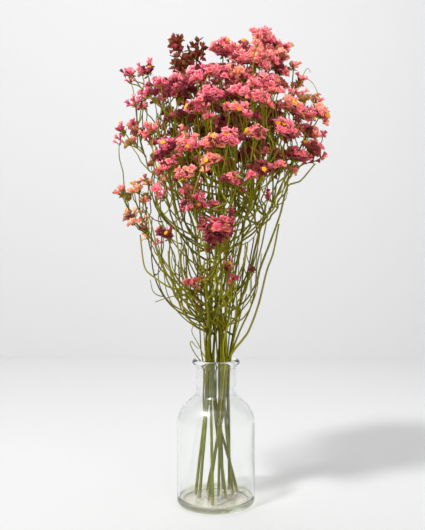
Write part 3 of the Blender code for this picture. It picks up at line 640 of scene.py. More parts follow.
# one flower cluster: short spikes from its heart, each a curve that lifts towards the axis, with calyces in two
# ranks along it that all face up and out, so that their rims run together into one crumpled crest
def addHead(pile, middle, size, axis, rng, hue):
    # the heads at the left and upper right edges and low down are looser, with narrower calyces
    drooping = middle[2] < head["drooping"]
    low = middle[2] < 400 and middle[0] < -35 or drooping
    loose = head["sparse"] if middle[0] < -66 or low or middle[0] > 78 and middle[2] > 478 else 1.0
    spikes = int(np.clip(round(size * head["spikes"] * loose), 2, 8))
    each = int(np.clip(round((size - 3.2) / head["gap"] * loose), 2, 8))
    bright = toneOf(middle, rng)
    ways = spreadWays(axis, spikes, rng, 1.05)
    t = (np.arange(each) + rng.uniform(0.5, 1.0, (spikes, 1))) / each
    reach = (size - 5.0) * rng.uniform(0.85, 1.1, (spikes, 1))
    root = middle - axis * size * 0.22
    spine = root + ways[:, None] * (t * reach)[..., None] + axis * (t**2 * size * 0.3)[..., None]
    sideways = unit(np.cross(ways, axis + rng.normal(0, 0.2, ways.shape)))[:, None]
    rank = np.where(np.arange(each) % 2, 0.5, -0.5)[:, None] * sideways
    lean = unit(ways[:, None] * (0.25 + 0.55 * t[..., None]) + axis * 0.75 + rank + rng.normal(0, 0.17, spine.shape))
    foot, lean = spine.reshape(-1, 3), lean.reshape(-1, 3)
    count = len(foot)
    # a crest is longer one way than the other: upwards on the drooping heads, which are also narrow
    crest = up if drooping else unit(np.cross(axis, rng.normal(0, 1, 3)) * (1, 1, 0.3))
    foot = foot + crest * ((foot - middle) @ crest)[:, None] * head["long"]
    if drooping:
        foot = middle + (foot - middle) * head["lowNarrow"]
    mouth = rng.uniform(*head["mouth"], count) * loose * np.clip(size / 12, 0.8, 1.0) * (1.3 if size > 18 else 1.0)
    length = rng.uniform(*head["length"], count)
    # no rim stands out past the cluster's own radius
    mouthPlace = foot + lean * length[:, None] - middle
    mouthPlace = mouthPlace - crest * (mouthPlace @ crest)[:, None] * head["long"] * 0.8
    over = np.linalg.norm(mouthPlace, axis=1) / (size * rng.uniform(0.94, 1.06, count))
    foot = middle + (foot - middle) * np.minimum(1, 1.0 / over)[:, None]
    length = length * np.clip(1.25 - 0.25 * over, 0.75, 1.0)
    foot = inBox(foot, lean * length[:, None], mouth * 0.6)
    hues = np.clip(hue + np.repeat(rng.normal(0, 0.07, spikes), each) + rng.normal(0, 0.05, count), 0, 1)
    # painted light and shade: the crest is lighter along its top and darker beneath, as light falls from above
    level = np.clip((foot - middle) @ unit(axis + up) / size, -0.8, 0.8)
    tones = np.clip(rng.normal(bright + head["paintedTopLight"] * level, 0.12, count), 0.05, 1)
    tones[rng.uniform(size=count) < head["dryShare"]] = 0.05
    leaf = np.where(rng.uniform(size=count) < head["greenShare"] * (5 if loose < 1 else 1), 0.8, 0.0)
    addFlorets(pile, foot, lean, mouth, length, rng, hue=hues, tone=tones, leaf=leaf)
    gold = rng.uniform(size=count) < head["goldShare"]
    if gold.any():
        addCorollas(pile, (foot + lean * (length * 1.08)[:, None])[gold], lean[gold], mouth[gold] * 0.72, rng)
    # the spikes' own stems, and the short stalk of each calyx
    stems = np.concatenate([np.broadcast_to(root, (spikes, 1, 3)), spine], axis=1)
    addTubes(pile, stems, 0.5, 4, rng, tone=0.35)
    paths = np.stack([spine.reshape(-1, 3), foot + lean * 0.6], axis=1)
    addTubes(pile, paths, (0.5, 0.42), 4, rng, tone=0.4)
    # short side spikes lower down, painted darker as shade between the clusters, which fill the room between this
    # cluster and its neighbours
    for way in spreadWays(unit(axis - up * 0.5), head["sides"], rng, 1.2) if size > 8 and loose == 1 else ():
        end = middle + way * size * rng.uniform(0.9, 1.35)
        end[2] = min(end[2], middle[2] + size * 0.1)
        count = head["sideCalyces"]
        place = np.linspace(0.55, 1.0, count)[:, None]
        spots = root + (end - root) * place + rng.normal(0, 1.0, (count, 3))
        ways = unit(way * 0.4 + up * 0.6 + rng.normal(0, 0.35, (count, 3)))
        addTubes(pile, np.stack([root, (root + end) / 2, end]), 0.5, 4, rng, tone=0.3)
        length = rng.uniform(5, 7, count)
        spots = inBox(spots, ways * length[:, None], 2.5)
        addFlorets(pile, spots, ways, rng.uniform(2.4, 3.9, count), length, rng,
                   hue=np.clip(hue + rng.normal(0, 0.1, count), 0, 1),
                   tone=np.clip(rng.normal(bright - 0.48, 0.12, count), 0.03, 1))
    # green bracts round its foot
    count = head["green"]
    below = spreadWays(-axis, count, rng, 1.2)
    addBracts(pile, root + below * size * 0.1, unit(below + axis * 0.7), rng.uniform(3.5, 5.5, count) + size * 0.15,
              rng.uniform(1.0, 1.6, count), rng, leaf=1.0, tone=rng.uniform(0.1, 0.8, count))


brown = {
    "stalks": 6, "leaf": (6.5, 10), "wide": (2.0, 3.0), "forkLeaf": (7, 10.5), "forkWide": (2.0, 3.0),
    "stalkThick": (0.6, 0.4), "twigThick": (0.5, 0.35), "florets": 9,
}


# pointed brown leaves, a few at each of the given rows of a path, standing up and away from it
def addLeafRows(pile, path, rows, each, length, wide, rng):
    for row in rows:
        along = unit(path[min(row + 1, len(path) - 1)] - path[row - 1])
        ways = spreadWays(along, each, rng, 0.95)
        base = np.broadcast_to(path[row], ways.shape)
        addBracts(pile, base, ways, rng.uniform(*length, each), rng.uniform(*wide, each), rng,
                  hue=rng.uniform(0, 1, each), tone=rng.uniform(0.1, 1, each))


# one head of brown bracts: leafy little stalks that rise and part from below it, with a few dusky calyces low down
def addBrownHead(pile, middle, size, axis, rng):
    root = middle - up * size * 0.9
    for way in spreadWays(unit(axis + up), brown["stalks"], rng, 1.25):
        end = middle + way * size * rng.uniform(0.45, 0.8)
        path = bend(root, root + up * size * 0.4, end - unit(up + way) * size * 0.4, end, 8)
        addTubes(pile, path, np.linspace(*brown["stalkThick"], 8), 5, rng, tone=0.1, hue=0.3)
        for row, each in ((4, 3), (7, 4)):
            addLeafRows(pile, path, (row,), each, brown["leaf"], brown["wide"], rng)
    count = brown["florets"]
    ways = spreadWays(unit(axis + up * 0.3), count, rng, 1.3)
    addFlorets(pile, root + ways * rng.uniform(2, size * 0.5, (count, 1)), ways, rng.uniform(2, 3.2, count),
               rng.uniform(4.5, 6, count), rng, hue=1.3, tone=rng.uniform(0, 0.6, count))


# the leafy stalks under the brown heads, with a short leafy twig at three of their rows
def addBrownLeaves(pile, paths, rng):
    for path in paths:
        addLeafRows(pile, path, range(3, 13, 2), 3, brown["forkLeaf"], brown["forkWide"], rng)
        for row in (4, 7, 10):
            way = unit(rng.normal(0, 1, 3) * (1, 1, 0.3) + up * 0.8)
            twig = path[row] + way * np.linspace(0, rng.uniform(8, 15), 6)[:, None]
            addTubes(pile, twig, np.linspace(*brown["twigThick"], 6), 5, rng, tone=0.1, hue=0.3)
            addLeafRows(pile, twig, (3, 5), 4, brown["leaf"], brown["wide"], rng)


# an sRGB colour, 0 to 255, as the linear one that a shader takes. A wire stays as it is.
def tint(colour):
    if isinstance(colour, Wire):
        return colour
    c = np.array(colour) / 255.0
    return (*np.where(c <= 0.04045, c / 12.92, ((c + 0.055) / 1.055) ** 2.4), 1.0)


# a shader socket that takes part in plain sums: each sign adds its own Math node
class Wire:
    def __init__(self, paint, socket):
        self.paint = paint
        self.socket = socket

    def join(self, operation, first, second):
        settings = {"operation": operation}
        return self.paint.node("ShaderNodeMath", settings, {0: first, 1: second})

    def __add__(self, other):
        return self.join("ADD", self, other)

    def __radd__(self, other):
        return self.join("ADD", other, self)

    def __sub__(self, other):
        return self.join("SUBTRACT", self, other)

    def __rsub__(self, other):
        return self.join("SUBTRACT", other, self)

    def __mul__(self, other):
        return self.join("MULTIPLY", self, other)

    def __rmul__(self, other):
        return self.join("MULTIPLY", other, self)


# a material and its nodes
class Paint:
    def __init__(self, name):
        self.material = bpy.data.materials.new(name)
        self.material.use_nodes = True
        self.tree = self.material.node_tree
        self.shader = self.tree.nodes["Principled BSDF"]

    # a link or a number goes into the socket with that number, identifier or name
    def put(self, node, key, value):
        names = [key] if isinstance(key, int) else [
            i for i, socket in enumerate(node.inputs) if key in (socket.identifier, socket.name)
        ]
        socket = node.inputs[names[0]]
        if isinstance(value, Wire):
            self.tree.links.new(value.socket, socket)
        else:
            socket.default_value = value

    # any node: its type, its settings first, then what its sockets take
    def node(self, kind, settings, inputs, output=0):
        made = self.tree.nodes.new(kind)
        for key, value in settings.items():
            if key == "stops":
                ramp = made.color_ramp.elements
                while len(ramp) < len(value):
                    ramp.new(0.5)
                for stop, (place, colour) in zip(ramp, value):
                    stop.position = place
                    stop.color = colour
            else:
                setattr(made, key, value)
        for key, value in inputs.items():
            self.put(made, key, value)
        return Wire(self, made.outputs[output])

    # a piece's own attribute: a number from the last but one output, a vector from output 1
    def field(self, name, output=2):
        return self.node("ShaderNodeAttribute", {"attribute_name": name}, {}, output)

    # Object coordinates, in metres
    def place(self):
        return self.node("ShaderNodeTexCoord", {}, {}, 3)

    # from the first colour to the second as the share goes from 0 to 1
    def mix(self, share, first, second):
        settings = {"data_type": "RGBA", "blend_type": "MIX", "clamp_factor": True}
        inputs = {"Factor_Float": share, "A_Color": tint(first), "B_Color": tint(second)}
        return self.node("ShaderNodeMix", settings, inputs, 2)

    def ramp(self, value, *stops):
        return self.node("ShaderNodeValToRGB", {"stops": [(at, tint(colour)) for at, colour in stops]}, {0: value})

    # a number eased from 0 to 1 as the value goes from low to high
    def ease(self, value, low, high):
        settings = {"interpolation_type": "SMOOTHSTEP", "clamp": True}
        return self.node("ShaderNodeMapRange", settings, {0: value, 1: low, 2: high, 3: 0.0, 4: 1.0})

    def noise(self, vector, scale, detail=3.0):
        inputs = {"Vector": vector, "Scale": scale, "Detail": detail, "Roughness": 0.55}
        return self.node("ShaderNodeTexNoise", {}, inputs)

    def stretch(self, vector, scale):
        return self.node("ShaderNodeVectorMath", {"operation": "MULTIPLY"}, {0: vector, 1: scale})

    # colour, roughness and relief onto the shader, and constants onto its other sockets
    def finish(self, colour, rough, relief=None, strength=0.3, distance=0.0003, **constants):
        self.put(self.shader, "Base Color", colour)
        self.put(self.shader, "Roughness", rough)
        if relief is not None:
            inputs = {"Height": relief, "Strength": strength, "Distance": distance}
            self.put(self.shader, "Normal", self.node("ShaderNodeBump", {}, inputs))
        for key, value in constants.items():
            self.put(self.shader, key.replace("_", " "), value)
        return self.material

    # another shader in place of the material's own, by a share
    def cover(self, share, shader):
        own = Wire(self, self.shader.outputs[0])
        both = self.node("ShaderNodeMixShader", {}, {0: share, 1: own, 2: shader})
        self.tree.links.new(both.socket, self.tree.nodes["Material Output"].inputs["Surface"])


stemPaint = {
    "olive": (128, 124, 16), "dark": (48, 45, 3), "dry": (146, 98, 30), "sage": (90, 104, 24),
    "cut": (222, 208, 160), "bare": (206, 196, 50),
}


# the colour of green stems: olive in streaks along the stem, dry brown patches, and sage green down in the bottle
def stemColour(paint):
    grain = paint.stretch(paint.field("grain", 1), (1.2, 1.2, 0.05))
    streak = paint.noise(grain, 2.2, 4.0)
    patch = paint.noise(paint.place(), 55.0, 3.0)
    tone = paint.field("tone")
    colour = paint.ramp(streak * 0.75 + tone * 0.3, (0.25, stemPaint["dark"]), (0.55, stemPaint["olive"]),
                        (0.85, stemPaint["bare"]))
    colour = paint.mix(paint.ease(patch, 0.56, 0.72) * 0.55, colour, stemPaint["dry"])
    low = 1 - paint.ease(paint.field("rise"), 0.2, 0.33)
    return paint.mix(low * 0.55, colour, stemPaint["sage"]), streak


# green stems, pale where they are cut
def stemLook():
    paint = Paint("driedStem")
    colour, streak = stemColour(paint)
    colour = paint.mix(paint.field("gold"), colour, stemPaint["cut"])
    return paint.finish(colour, 0.58 + streak * 0.25, streak, 0.5, 0.0004, Specular_IOR_Level=0.16)


calyxPaint = {
    "hues": ((0.0, (214, 58, 98)), (0.3, (238, 84, 106)), (0.55, (250, 106, 106)), (0.8, (255, 146, 110)),
             (1.0, (255, 188, 116))),
    "rim": (255, 206, 184), "coolRim": (255, 194, 200), "throat": (98, 9, 25), "dryAndShade": (64, 12, 8),
    "gold": (246, 196, 36), "goldDeep": (226, 134, 24),
}


# papery calyces: the hue of each from its own attribute, paler at the rim, with painted shade dark in the throat and
# dark brown where the tone is low, for dry calyces and for the tone's painted shade, with veins
def calyxLook(name, warm):
    paint = Paint(name)
    rise, rib, tone = paint.field("rise"), paint.field("rib"), paint.field("tone")
    mottle = paint.noise(paint.place(), 330.0, 3.0)
    hue = paint.ramp(paint.field("hue") + (mottle - 0.5) * 0.35 + warm, *calyxPaint["hues"])
    # the rim is paler, as papery rims are, by as much as the tone allows, which also carries painted light and shade
    light = paint.ease(rise, 0.6, 1.0) * (0.14 + tone * 0.86) * paint.ease(mottle, 0.3, 0.6)
    rim = paint.mix(paint.ease(paint.field("hue"), 0.3, 0.7), calyxPaint["coolRim"], calyxPaint["rim"])
    colour = paint.mix(light, hue, rim)
    # painted shade: the funnel darkens to maroon down into its throat
    colour = paint.mix((1 - paint.ease(rise, 0.05, 0.6)) * 0.62, colour, calyxPaint["throat"])
    colour = paint.mix(paint.ease(rib, 0.2, 0.9) * 0.2, colour, calyxPaint["throat"])
    # dark brown where the tone is low: the colour of dry calyces, and painted shade where the tone carries it
    dull = (1 - paint.ease(tone, 0.08, 0.6)) * (0.88 - paint.ease(rise, 0.6, 1.0) * 0.12)
    colour = paint.mix(dull, colour, calyxPaint["dryAndShade"])
    golden = paint.mix(paint.ease(rise, 0.2, 0.8), calyxPaint["goldDeep"], calyxPaint["gold"])
    colour = paint.mix(paint.field("gold"), colour, golden)
    green, _ = stemColour(paint)
    colour = paint.mix(paint.field("leaf"), colour, green)
    crisp = paint.noise(paint.place(), 900.0, 4.0)
    return paint.finish(colour, 0.62 + mottle * 0.3, crisp + rib * 0.3, 0.45, 0.0003, Specular_IOR_Level=0.14)


bractPaint = {
    "hues": ((0.15, (96, 26, 14)), (0.45, (130, 56, 24)), (0.75, (104, 72, 20)), (0.95, (176, 62, 74))),
    "edge": (164, 88, 52),
}


# brown bracts: each from red brown to olive brown by its own attribute, the few calyces dusky pink, paler to the tip
def bractLook():
    paint = Paint("brownBract")
    rise, hue, tone = paint.field("rise"), paint.field("hue"), paint.field("tone")
    mottle = paint.noise(paint.place(), 300.0, 3.0)
    colour = paint.ramp(hue * 0.7 + mottle * 0.4, *bractPaint["hues"])
    colour = paint.mix(paint.ease(rise, 0.5, 1.0) * 0.45 * tone, colour, bractPaint["edge"])
    return paint.finish(colour, 0.6 + mottle * 0.3, mottle, 0.4, 0.0003, Specular_IOR_Level=0.3)


glassPaint = {"clear": (254, 255, 254), "dust": (224, 216, 194), "foot": (204, 214, 178), "shadow": (228, 229, 228)}


# clear bottle glass: a low swell of the surface as moulded glass has, with a finer ripple and a thin film over the
# shoulder, where lamps show as soft glints, a trace of dust at the foot, and a green tint round the foot's edge.
# Light that only casts a shadow passes as through a thin clear film, so that the table behind stays bright.
def glassLook():
    paint = Paint("clearGlass")
    height = paint.node("ShaderNodeSeparateXYZ", {}, {0: paint.place()}, 2)
    film = paint.ease(height, 0.1, 0.114) * (1 - paint.ease(height, 0.134, 0.15))
    swell = paint.noise(paint.place(), 26.0, 2.0) * 0.25 + paint.noise(paint.place(), 85.0, 1.0) * film * 0.5
    dust = (1 - paint.ease(height, 0.006, 0.014)) * paint.noise(paint.place(), 120.0, 3.0)
    x, y = (paint.node("ShaderNodeSeparateXYZ", {}, {0: paint.place()}, k) for k in (0, 1))
    foot = paint.ease(x * x + y * y, 0.0017, 0.0021) * (1 - paint.ease(height, 0.004, 0.012))
    colour = paint.mix(dust, glassPaint["clear"], glassPaint["dust"])
    colour = paint.mix(foot * 0.8, colour, glassPaint["foot"])
    made = paint.finish(colour, 0.01 + dust * 0.4, swell, 0.2, 0.0008, Transmission_Weight=1.0, IOR=1.45,
                        Coat_Weight=film * 0.9, Coat_Roughness=0.24, Specular_IOR_Level=0.24)
    shadow = paint.node("ShaderNodeLightPath", {}, {}, 1)
    paint.cover(shadow, paint.node("ShaderNodeBsdfTransparent", {}, {"Color": tint(glassPaint["shadow"])}))
    return made


# the bottle: its radii, its wall, the heights at which its shoulder and neck start and how they curve, and its lip's
# middle (radius, height)
vase = {
    "bodyRadius": 47.5, "neckRadius": 24.2, "wall": 2.5, "floorTop": 6.5, "footCorner": 6.5,
    "shoulderStart": 98.0, "shoulderCurve": 33.0, "shoulderLean": 49.0,
    "neckStart": 136.5, "neckCurve": 7.0, "neckEnd": 165.0, "lipMiddle": (25.3, 172.4), "lipCurve": 3.6,
    "floorCorner": 5, "punt": 1.1, "columns": 144,
}


# points (radius, height) along an arc, its angles in degrees from level
def arc(middle, radius, start, end, count):
    angle = np.radians(np.linspace(start, end, count))
    return np.stack([middle[0] + radius * np.cos(angle), middle[1] + radius * np.sin(angle)], axis=1)


# the bottle's outline from the middle of its inside floor, up inside, over the lip and down outside to the foot.
# Arcs make its corners, shoulder, neck and lip, and a few points its straight walls, its floor and its hollow foot.
def vaseOutline():
    v = vase
    body, neck, wall, lean, lip = v["bodyRadius"], v["neckRadius"], v["wall"], v["shoulderLean"], v["lipMiddle"]
    shoulder = (body - v["shoulderCurve"], v["shoulderStart"])
    throat = (neck + v["neckCurve"], v["neckStart"])
    corner, inner = v["footCorner"], v["floorCorner"]
    rows = [
        [(0.5, v["floorTop"] + 0.6), (14, v["floorTop"] + 0.5), (27, v["floorTop"] + 0.2), (36, v["floorTop"])],
        arc((body - wall - inner, v["floorTop"] + inner), inner, -90, 0, 9),
        [(body - wall, 30), (body - wall, 60), (body - wall, 85)],
        arc(shoulder, v["shoulderCurve"] - wall, 0, lean, 14),
        arc(throat, v["neckCurve"] + wall, 180 + lean, 180, 10),
        [(neck - wall, 146), (neck - wall, 158), (neck - wall, lip[1] - 2)],
        arc(lip, v["lipCurve"], 135, -50, 18),
        [(neck + 0.3, v["neckEnd"] + 1.2), (neck, v["neckEnd"] - 1), (neck, 150)],
        arc(throat, v["neckCurve"], 180, 180 + lean, 10),
        arc(shoulder, v["shoulderCurve"], lean, 0, 16),
        [(body, 85), (body, 60), (body, 30)],
        arc((body - corner, corner), corner, 0, -90, 9),
        [(38, 0.0), (35, v["punt"] * 0.6), (27, v["punt"]), (12, v["punt"] + 0.4), (0.5, v["punt"] + 0.5)],
    ]
    return np.concatenate([np.asarray(row, float) for row in rows])


# the bottle: its outline turned round the upright axis
def makeVase(look):
    outline = vaseOutline()[::-1]
    theta = ringAngles(vase["columns"])
    radius, height = outline[:, :1], outline[:, 1:]
    grid = np.stack(np.broadcast_arrays(radius * np.cos(theta), radius * np.sin(theta), height), axis=-1)
    pile = Pile()
    pile.wrap(grid[None])
    pile.make("bottleVase", look, "clear_glass", "vase")


# how many points each kind of stem has along it
stemRows = {
    "trunk": 60, "branch": 22, "twig": 16, "fork": 14,
    "beside": 26, "stray": 18, "sprig": 10, "strand": 34, "tuft": 11,
}


# the rods of one owner and kind: their paths and radii, as even rows
def rodsOf(bunch, at, owner, kind):
    rows = stemRows[kind]
    mine = [i for i, (own, what) in enumerate(zip(bunch.owner, bunch.kind)) if own == owner and what == kind]
    if not mine:
        return np.zeros((0, rows, 3)), np.zeros((0, rows))
    paths = smoothPaths(np.array([at[bunch.rods[i]] for i in mine]), rows)
    return paths, spreadAlong(np.array([bunch.radii[i] for i in mine]), rows)


stray = {
    # the thin twigs that each stalk gets: how many, from what heights, how far up, and the outline that they stay in
    "perStalk": 9, "from": (190, 400), "rise": (40, 130), "top": 476,
    "waist": 28, "waistAt": 186, "widen": 0.44, "widest": 104, "flat": 0.68, "thick": (1.25, 0.7), "wave": 2.6,
    "sprigAt": 10, "sprigThick": (0.75, 0.4),
    # how far the stalks sway off their own lines, in the neck and above it, and how far their branches do
    "trunkSway": ((170, 260), (0.4, 4.2)), "branchSway": 8.0,
    # the stems beside each stalk, and between what heights and inside what radius they pass the neck
    "besides": 2, "besideThick": (1.0, 0.6), "neck": (105, 182), "neckRoom": 18.5,
    # the small tufts: how many, how far above the foot of their twigs, how many inside the crown, and where that is
    "tufts": 200, "tuftBelow": (16, 48), "tuftThick": (0.85, 0.55), "innerTufts": 230,
    "crown": {"middle": (5.0, 0.0, 470.0), "reach": (104.0, 70.0, 80.0)},
}
# narrow upright cones of closed calyces: the middle of each one's foot, how tall it is and its radius
cones = [((-17, -60, 331), 15, 2.3), ((17, -62, 337), 19, 3.0), ((-38, -58, 352), 12, 2.4), ((60, -40, 366), 12, 2.2)]
# strands that the front shows clearly, each from its foot in the bunch to its tip, and how thick they are there
strands = [
    ((-6, -10, 252), (-31, -12, 261), (-53, -14, 263), (-74, -14, 276),
     (-85, -14, 287), (-89, -12, 309), (-91, -10, 327)),
    ((-7, -14, 215), (-22, -16, 219), (-36, -20, 230), (-43, -22, 243),
     (-47, -24, 261), (-50, -25, 272), (-51, -26, 283)),
    ((-6, -14, 254), (-18, -17, 255), (-29, -20, 256), (-40, -22, 255),
     (-50, -24, 254), (-61, -25, 251), (-72, -26, 247)),
    ((23, -5, 189), (32, -6, 200), (40, -6, 212), (51, -8, 242), (61, -8, 283), (69, -6, 305), (76, -4, 340)),
    ((56, -6, 294), (66, -7, 320), (77, -8, 351), (85, -8, 383),
     (94, -6, 389), (103, -4, 393), (120, 0, 413)),
    ((-20, -12, 177), (-25, -14, 184), (-29, -14, 191), (-31, -14, 197),
     (-29, -14, 199), (-25, -14, 194), (-21, -14, 190)),
    ((-13, -10, 179), (-17, -12, 186), (-21, -12, 195), (-25, -13, 202),
     (-29, -14, 211), (-26, -14, 219), (-12, -13, 230)),
    ((20, -4, 188), (30, -8, 214), (41, -10, 238), (47, -12, 262),
     (49, -14, 290), (55, -14, 316), (62, -12, 350)),
    ((-9, -16, 232), (-26, -18, 246), (-46, -20, 262), (-60, -22, 284),
     (-69, -24, 306), (-74, -26, 330), (-80, -26, 352)),
    ((-12, -6, 240), (-30, 0, 256), (-52, 4, 280), (-70, 6, 306),
     (-84, 6, 336), (-96, 4, 362), (-100, 4, 384)),
    ((84, -2, 470), (95, 0, 496), (103, 0, 510), (110, 1, 515), (116, 3, 512), (121, 4, 505), (126, 5, 492)),
    ((100, 5, 505), (103, 5, 514), (106, 5, 521), (109, 5, 527), (111, 5, 529), (113, 5, 528), (115, 5, 524)),
]
strandThick = (
    (1.3, 0.8), (1.1, 0.6), (0.8, 0.5), (1.5, 1.0), (1.4, 0.9), (0.7, 0.5),
    (0.7, 0.4), (1.2, 0.8), (1.2, 0.8), (1.2, 0.7), (0.6, 0.35), (0.6, 0.35),
)


# thin twigs of one stalk: each leaves it widely and bows up to a tip somewhere inside the bunch's outline, so that
# they cross. The outline widens by a fixed slope with height, more on the left than on the right.
def strayPaths(paths, rng):
    spots = paths.reshape(-1, 3)
    spots = spots[(spots[:, 2] > stray["from"][0]) & (spots[:, 2] < stray["from"][1])]
    share = np.where(spots[:, 0] < 4, 1.7, 1.0)
    made = []
    for start in spots[rng.choice(len(spots), stray["perStalk"], p=share / share.sum())]:
        turn = np.arctan2(start[1], start[0] - bunchAxis) + rng.uniform(-2.0, 2.0)
        side = levelWay(turn)
        rise = min(rng.uniform(*stray["rise"]), stray["top"] - start[2])
        wide = stray["waist"] + stray["widen"] * (start[2] + rise - stray["waistAt"])
        wide = min(wide * (1.18 if side[0] < 0 else 0.85), stray["widest"])
        level = np.array((bunchAxis, 0.0, 0.0)) + side * (1, stray["flat"], 0) * wide * rng.uniform(0.5, 0.96)
        level = level - start * (1, 1, 0)
        level *= min(1.0, (0.85 * rise + 14) / np.linalg.norm(level))
        tip = start + level + up * rise
        path = bend(start, start + level * rng.uniform(0.5, 0.95) + up * rise * rng.uniform(0.08, 0.28),
                    tip - up * rise * rng.uniform(0.35, 0.6) + level * rng.uniform(-0.1, 0.15), tip, 8)
        wave = np.sin(np.linspace(0, rng.uniform(3, 7), 8) + rng.uniform(0, 6))[:, None] * stray["wave"]
        path[1:] += (np.cross(side, up) * wave)[1:] + rng.normal(0, 0.4, (7, 3))
        made.append(path)
    return np.array(made)


# side sprigs, one on each path at a row of it: each leaves widely, bows out, and turns up
def sprigPaths(paths, row, rng):
    start, tangent = paths[:, row], unit(paths[:, row + 1] - paths[:, row - 1])
    aside = unit(np.cross(tangent, rng.normal(0, 1, tangent.shape)) * (1, 1, 0.3))
    reach = rng.uniform(9, 30, (len(paths), 1))
    way = unit(tangent * 0.5 + aside)
    return np.stack([start, start + way * reach * 0.45, start + way * reach * 0.85 + up * reach * 0.25,
                     start + way * reach + up * reach * rng.uniform(0.6, 1.1, (len(paths), 1))], axis=1)


# thin stems that leave a stalk inside the bottle and run up beside it through the neck, then bow away above it. They
# keep further from it the higher they are, and inside the neck their distance from its axis is held to a limit.
def besidePaths(trunk, rng):
    made = []
    bottom, top = stray["neck"]
    for _ in range(stray["besides"]):
        start = int(rng.integers(6, 14))
        end = int(rng.integers(26, 36))
        rows = np.linspace(start, end, 9).round().astype(int)
        turn = rng.uniform(0, 2 * np.pi)
        side = levelWay(turn)
        away = np.interp(trunk[rows, 2], (60, 120, 175, 260, 330), (0.5, 3.2, 4.2, 16, 30))
        away[0] = 0
        path = trunk[rows] + side * away[:, None] + rng.normal(0, 0.5, (9, 3))
        path[0] = trunk[start]
        flat = np.hypot(path[:, 0], path[:, 1])
        inside = (path[:, 2] > bottom) & (path[:, 2] < top)
        path[:, :2] *= np.where(inside, np.minimum(1, stray["neckRoom"] / np.maximum(flat, 1e-6)), 1)[:, None]
        made.append(path)
    return np.array(made)


# a slow sway off the straight: two sines along each path in two directions, none at its ends
def sway(paths, rng, size):
    t = np.linspace(0, 1, paths.shape[1])[:, None]
    for waves in (2.5, 6):
        ways = rng.normal(0, 1, (len(paths), 1, 3)) * (1, 1, 0.3)
        phase = rng.uniform(0, 6.3, (len(paths), 1, 1))
        paths = paths + ways * np.sin(t * waves * np.pi + phase) * np.sin(t * np.pi) * size * 2 / waves
    return paths


# places for small flower tufts: just outside the clusters, more of them on the left, and inside the crown,
# where they are painted dark as shade. Each row is x, y, z and how bright the tuft is. None stands over the brown
# heads or at the upper right corner.
def tuftPlaces(at, heads, bunch, clusters, rng):
    middles = np.array([at[bunch.rods[rod][-1]] for rod, _, _ in heads])
    sizes = np.array([clusters[c, 3] for _, c, _ in heads])
    left = np.where(middles[:, 0] < 0, 1.4, 1.0)
    pick = rng.choice(len(middles), stray["tufts"], p=left / left.sum())
    ways = unit(rng.normal(0, 1, (len(pick), 3)) * (1, 1, 0.8) - up * 0.2)
    outer = middles[pick] + ways * (sizes[pick] + rng.uniform(1, 9, len(pick)))[:, None]
    crown = stray["crown"]
    ways = unit(rng.normal(0, 1, (stray["innerTufts"], 3)))
    inner = crown["middle"] + ways * crown["reach"] * rng.uniform(0.35, 1.0, (stray["innerTufts"], 1))
    spots = np.vstack([outer, inner])
    # the tufts inside the crown are dim as painted shade
    bright = np.append(rng.uniform(0.45, 0.8, len(outer)), rng.uniform(0.0, 0.3, len(inner)))
    low, high = np.array(cadBox[0]) / mm + 5, np.array(cadBox[1]) / mm - (9, 9, 30)
    within = ((spots > low) & (spots < high)).all(axis=1) & ~((spots[:, 0] > 78) & (spots[:, 2] > 490))
    brownMiddles = np.array([at[bunch.rods[rod][-1]] for rod, c, _ in heads if c in brownOnes])
    off = np.linalg.norm((spots[:, None] - brownMiddles) * (1, 0.3, 1), axis=2).min(axis=1)
    return np.column_stack([spots, bright])[within & (off > 22)]


# paths moved with the stalk that they leave: each by the sway of the place that its foot is on, and less and less
# along it, by the square of what is left
def carried(paths, still, swayed):
    foot = np.linalg.norm(paths[:, :1] - still, axis=2).argmin(axis=1)
    ease = (1 - np.linspace(0, 1, paths.shape[1])[:, None]) ** 2
    return paths + (swayed - still)[foot][:, None] * ease


# all the lines of the bunch, with their points moved apart
def buildBunch():
    rng = np.random.default_rng(7)
    clusters = allClusters(rng)
    sprays = spraysOf(clusters)
    bases, ways = sprayBases(clusters, sprays, rng)
    bunch = Bunch()
    endOf = growTrunks(bunch, sprays, bases, ways, rng)
    growBranches(bunch, bases, ways, endOf, rng)
    growTwigs(bunch, rng)
    heads = growForks(bunch, clusters, sprays, ways, endOf)
    return bunch, settle(bunch, clusters, heads), clusters, sprays, heads


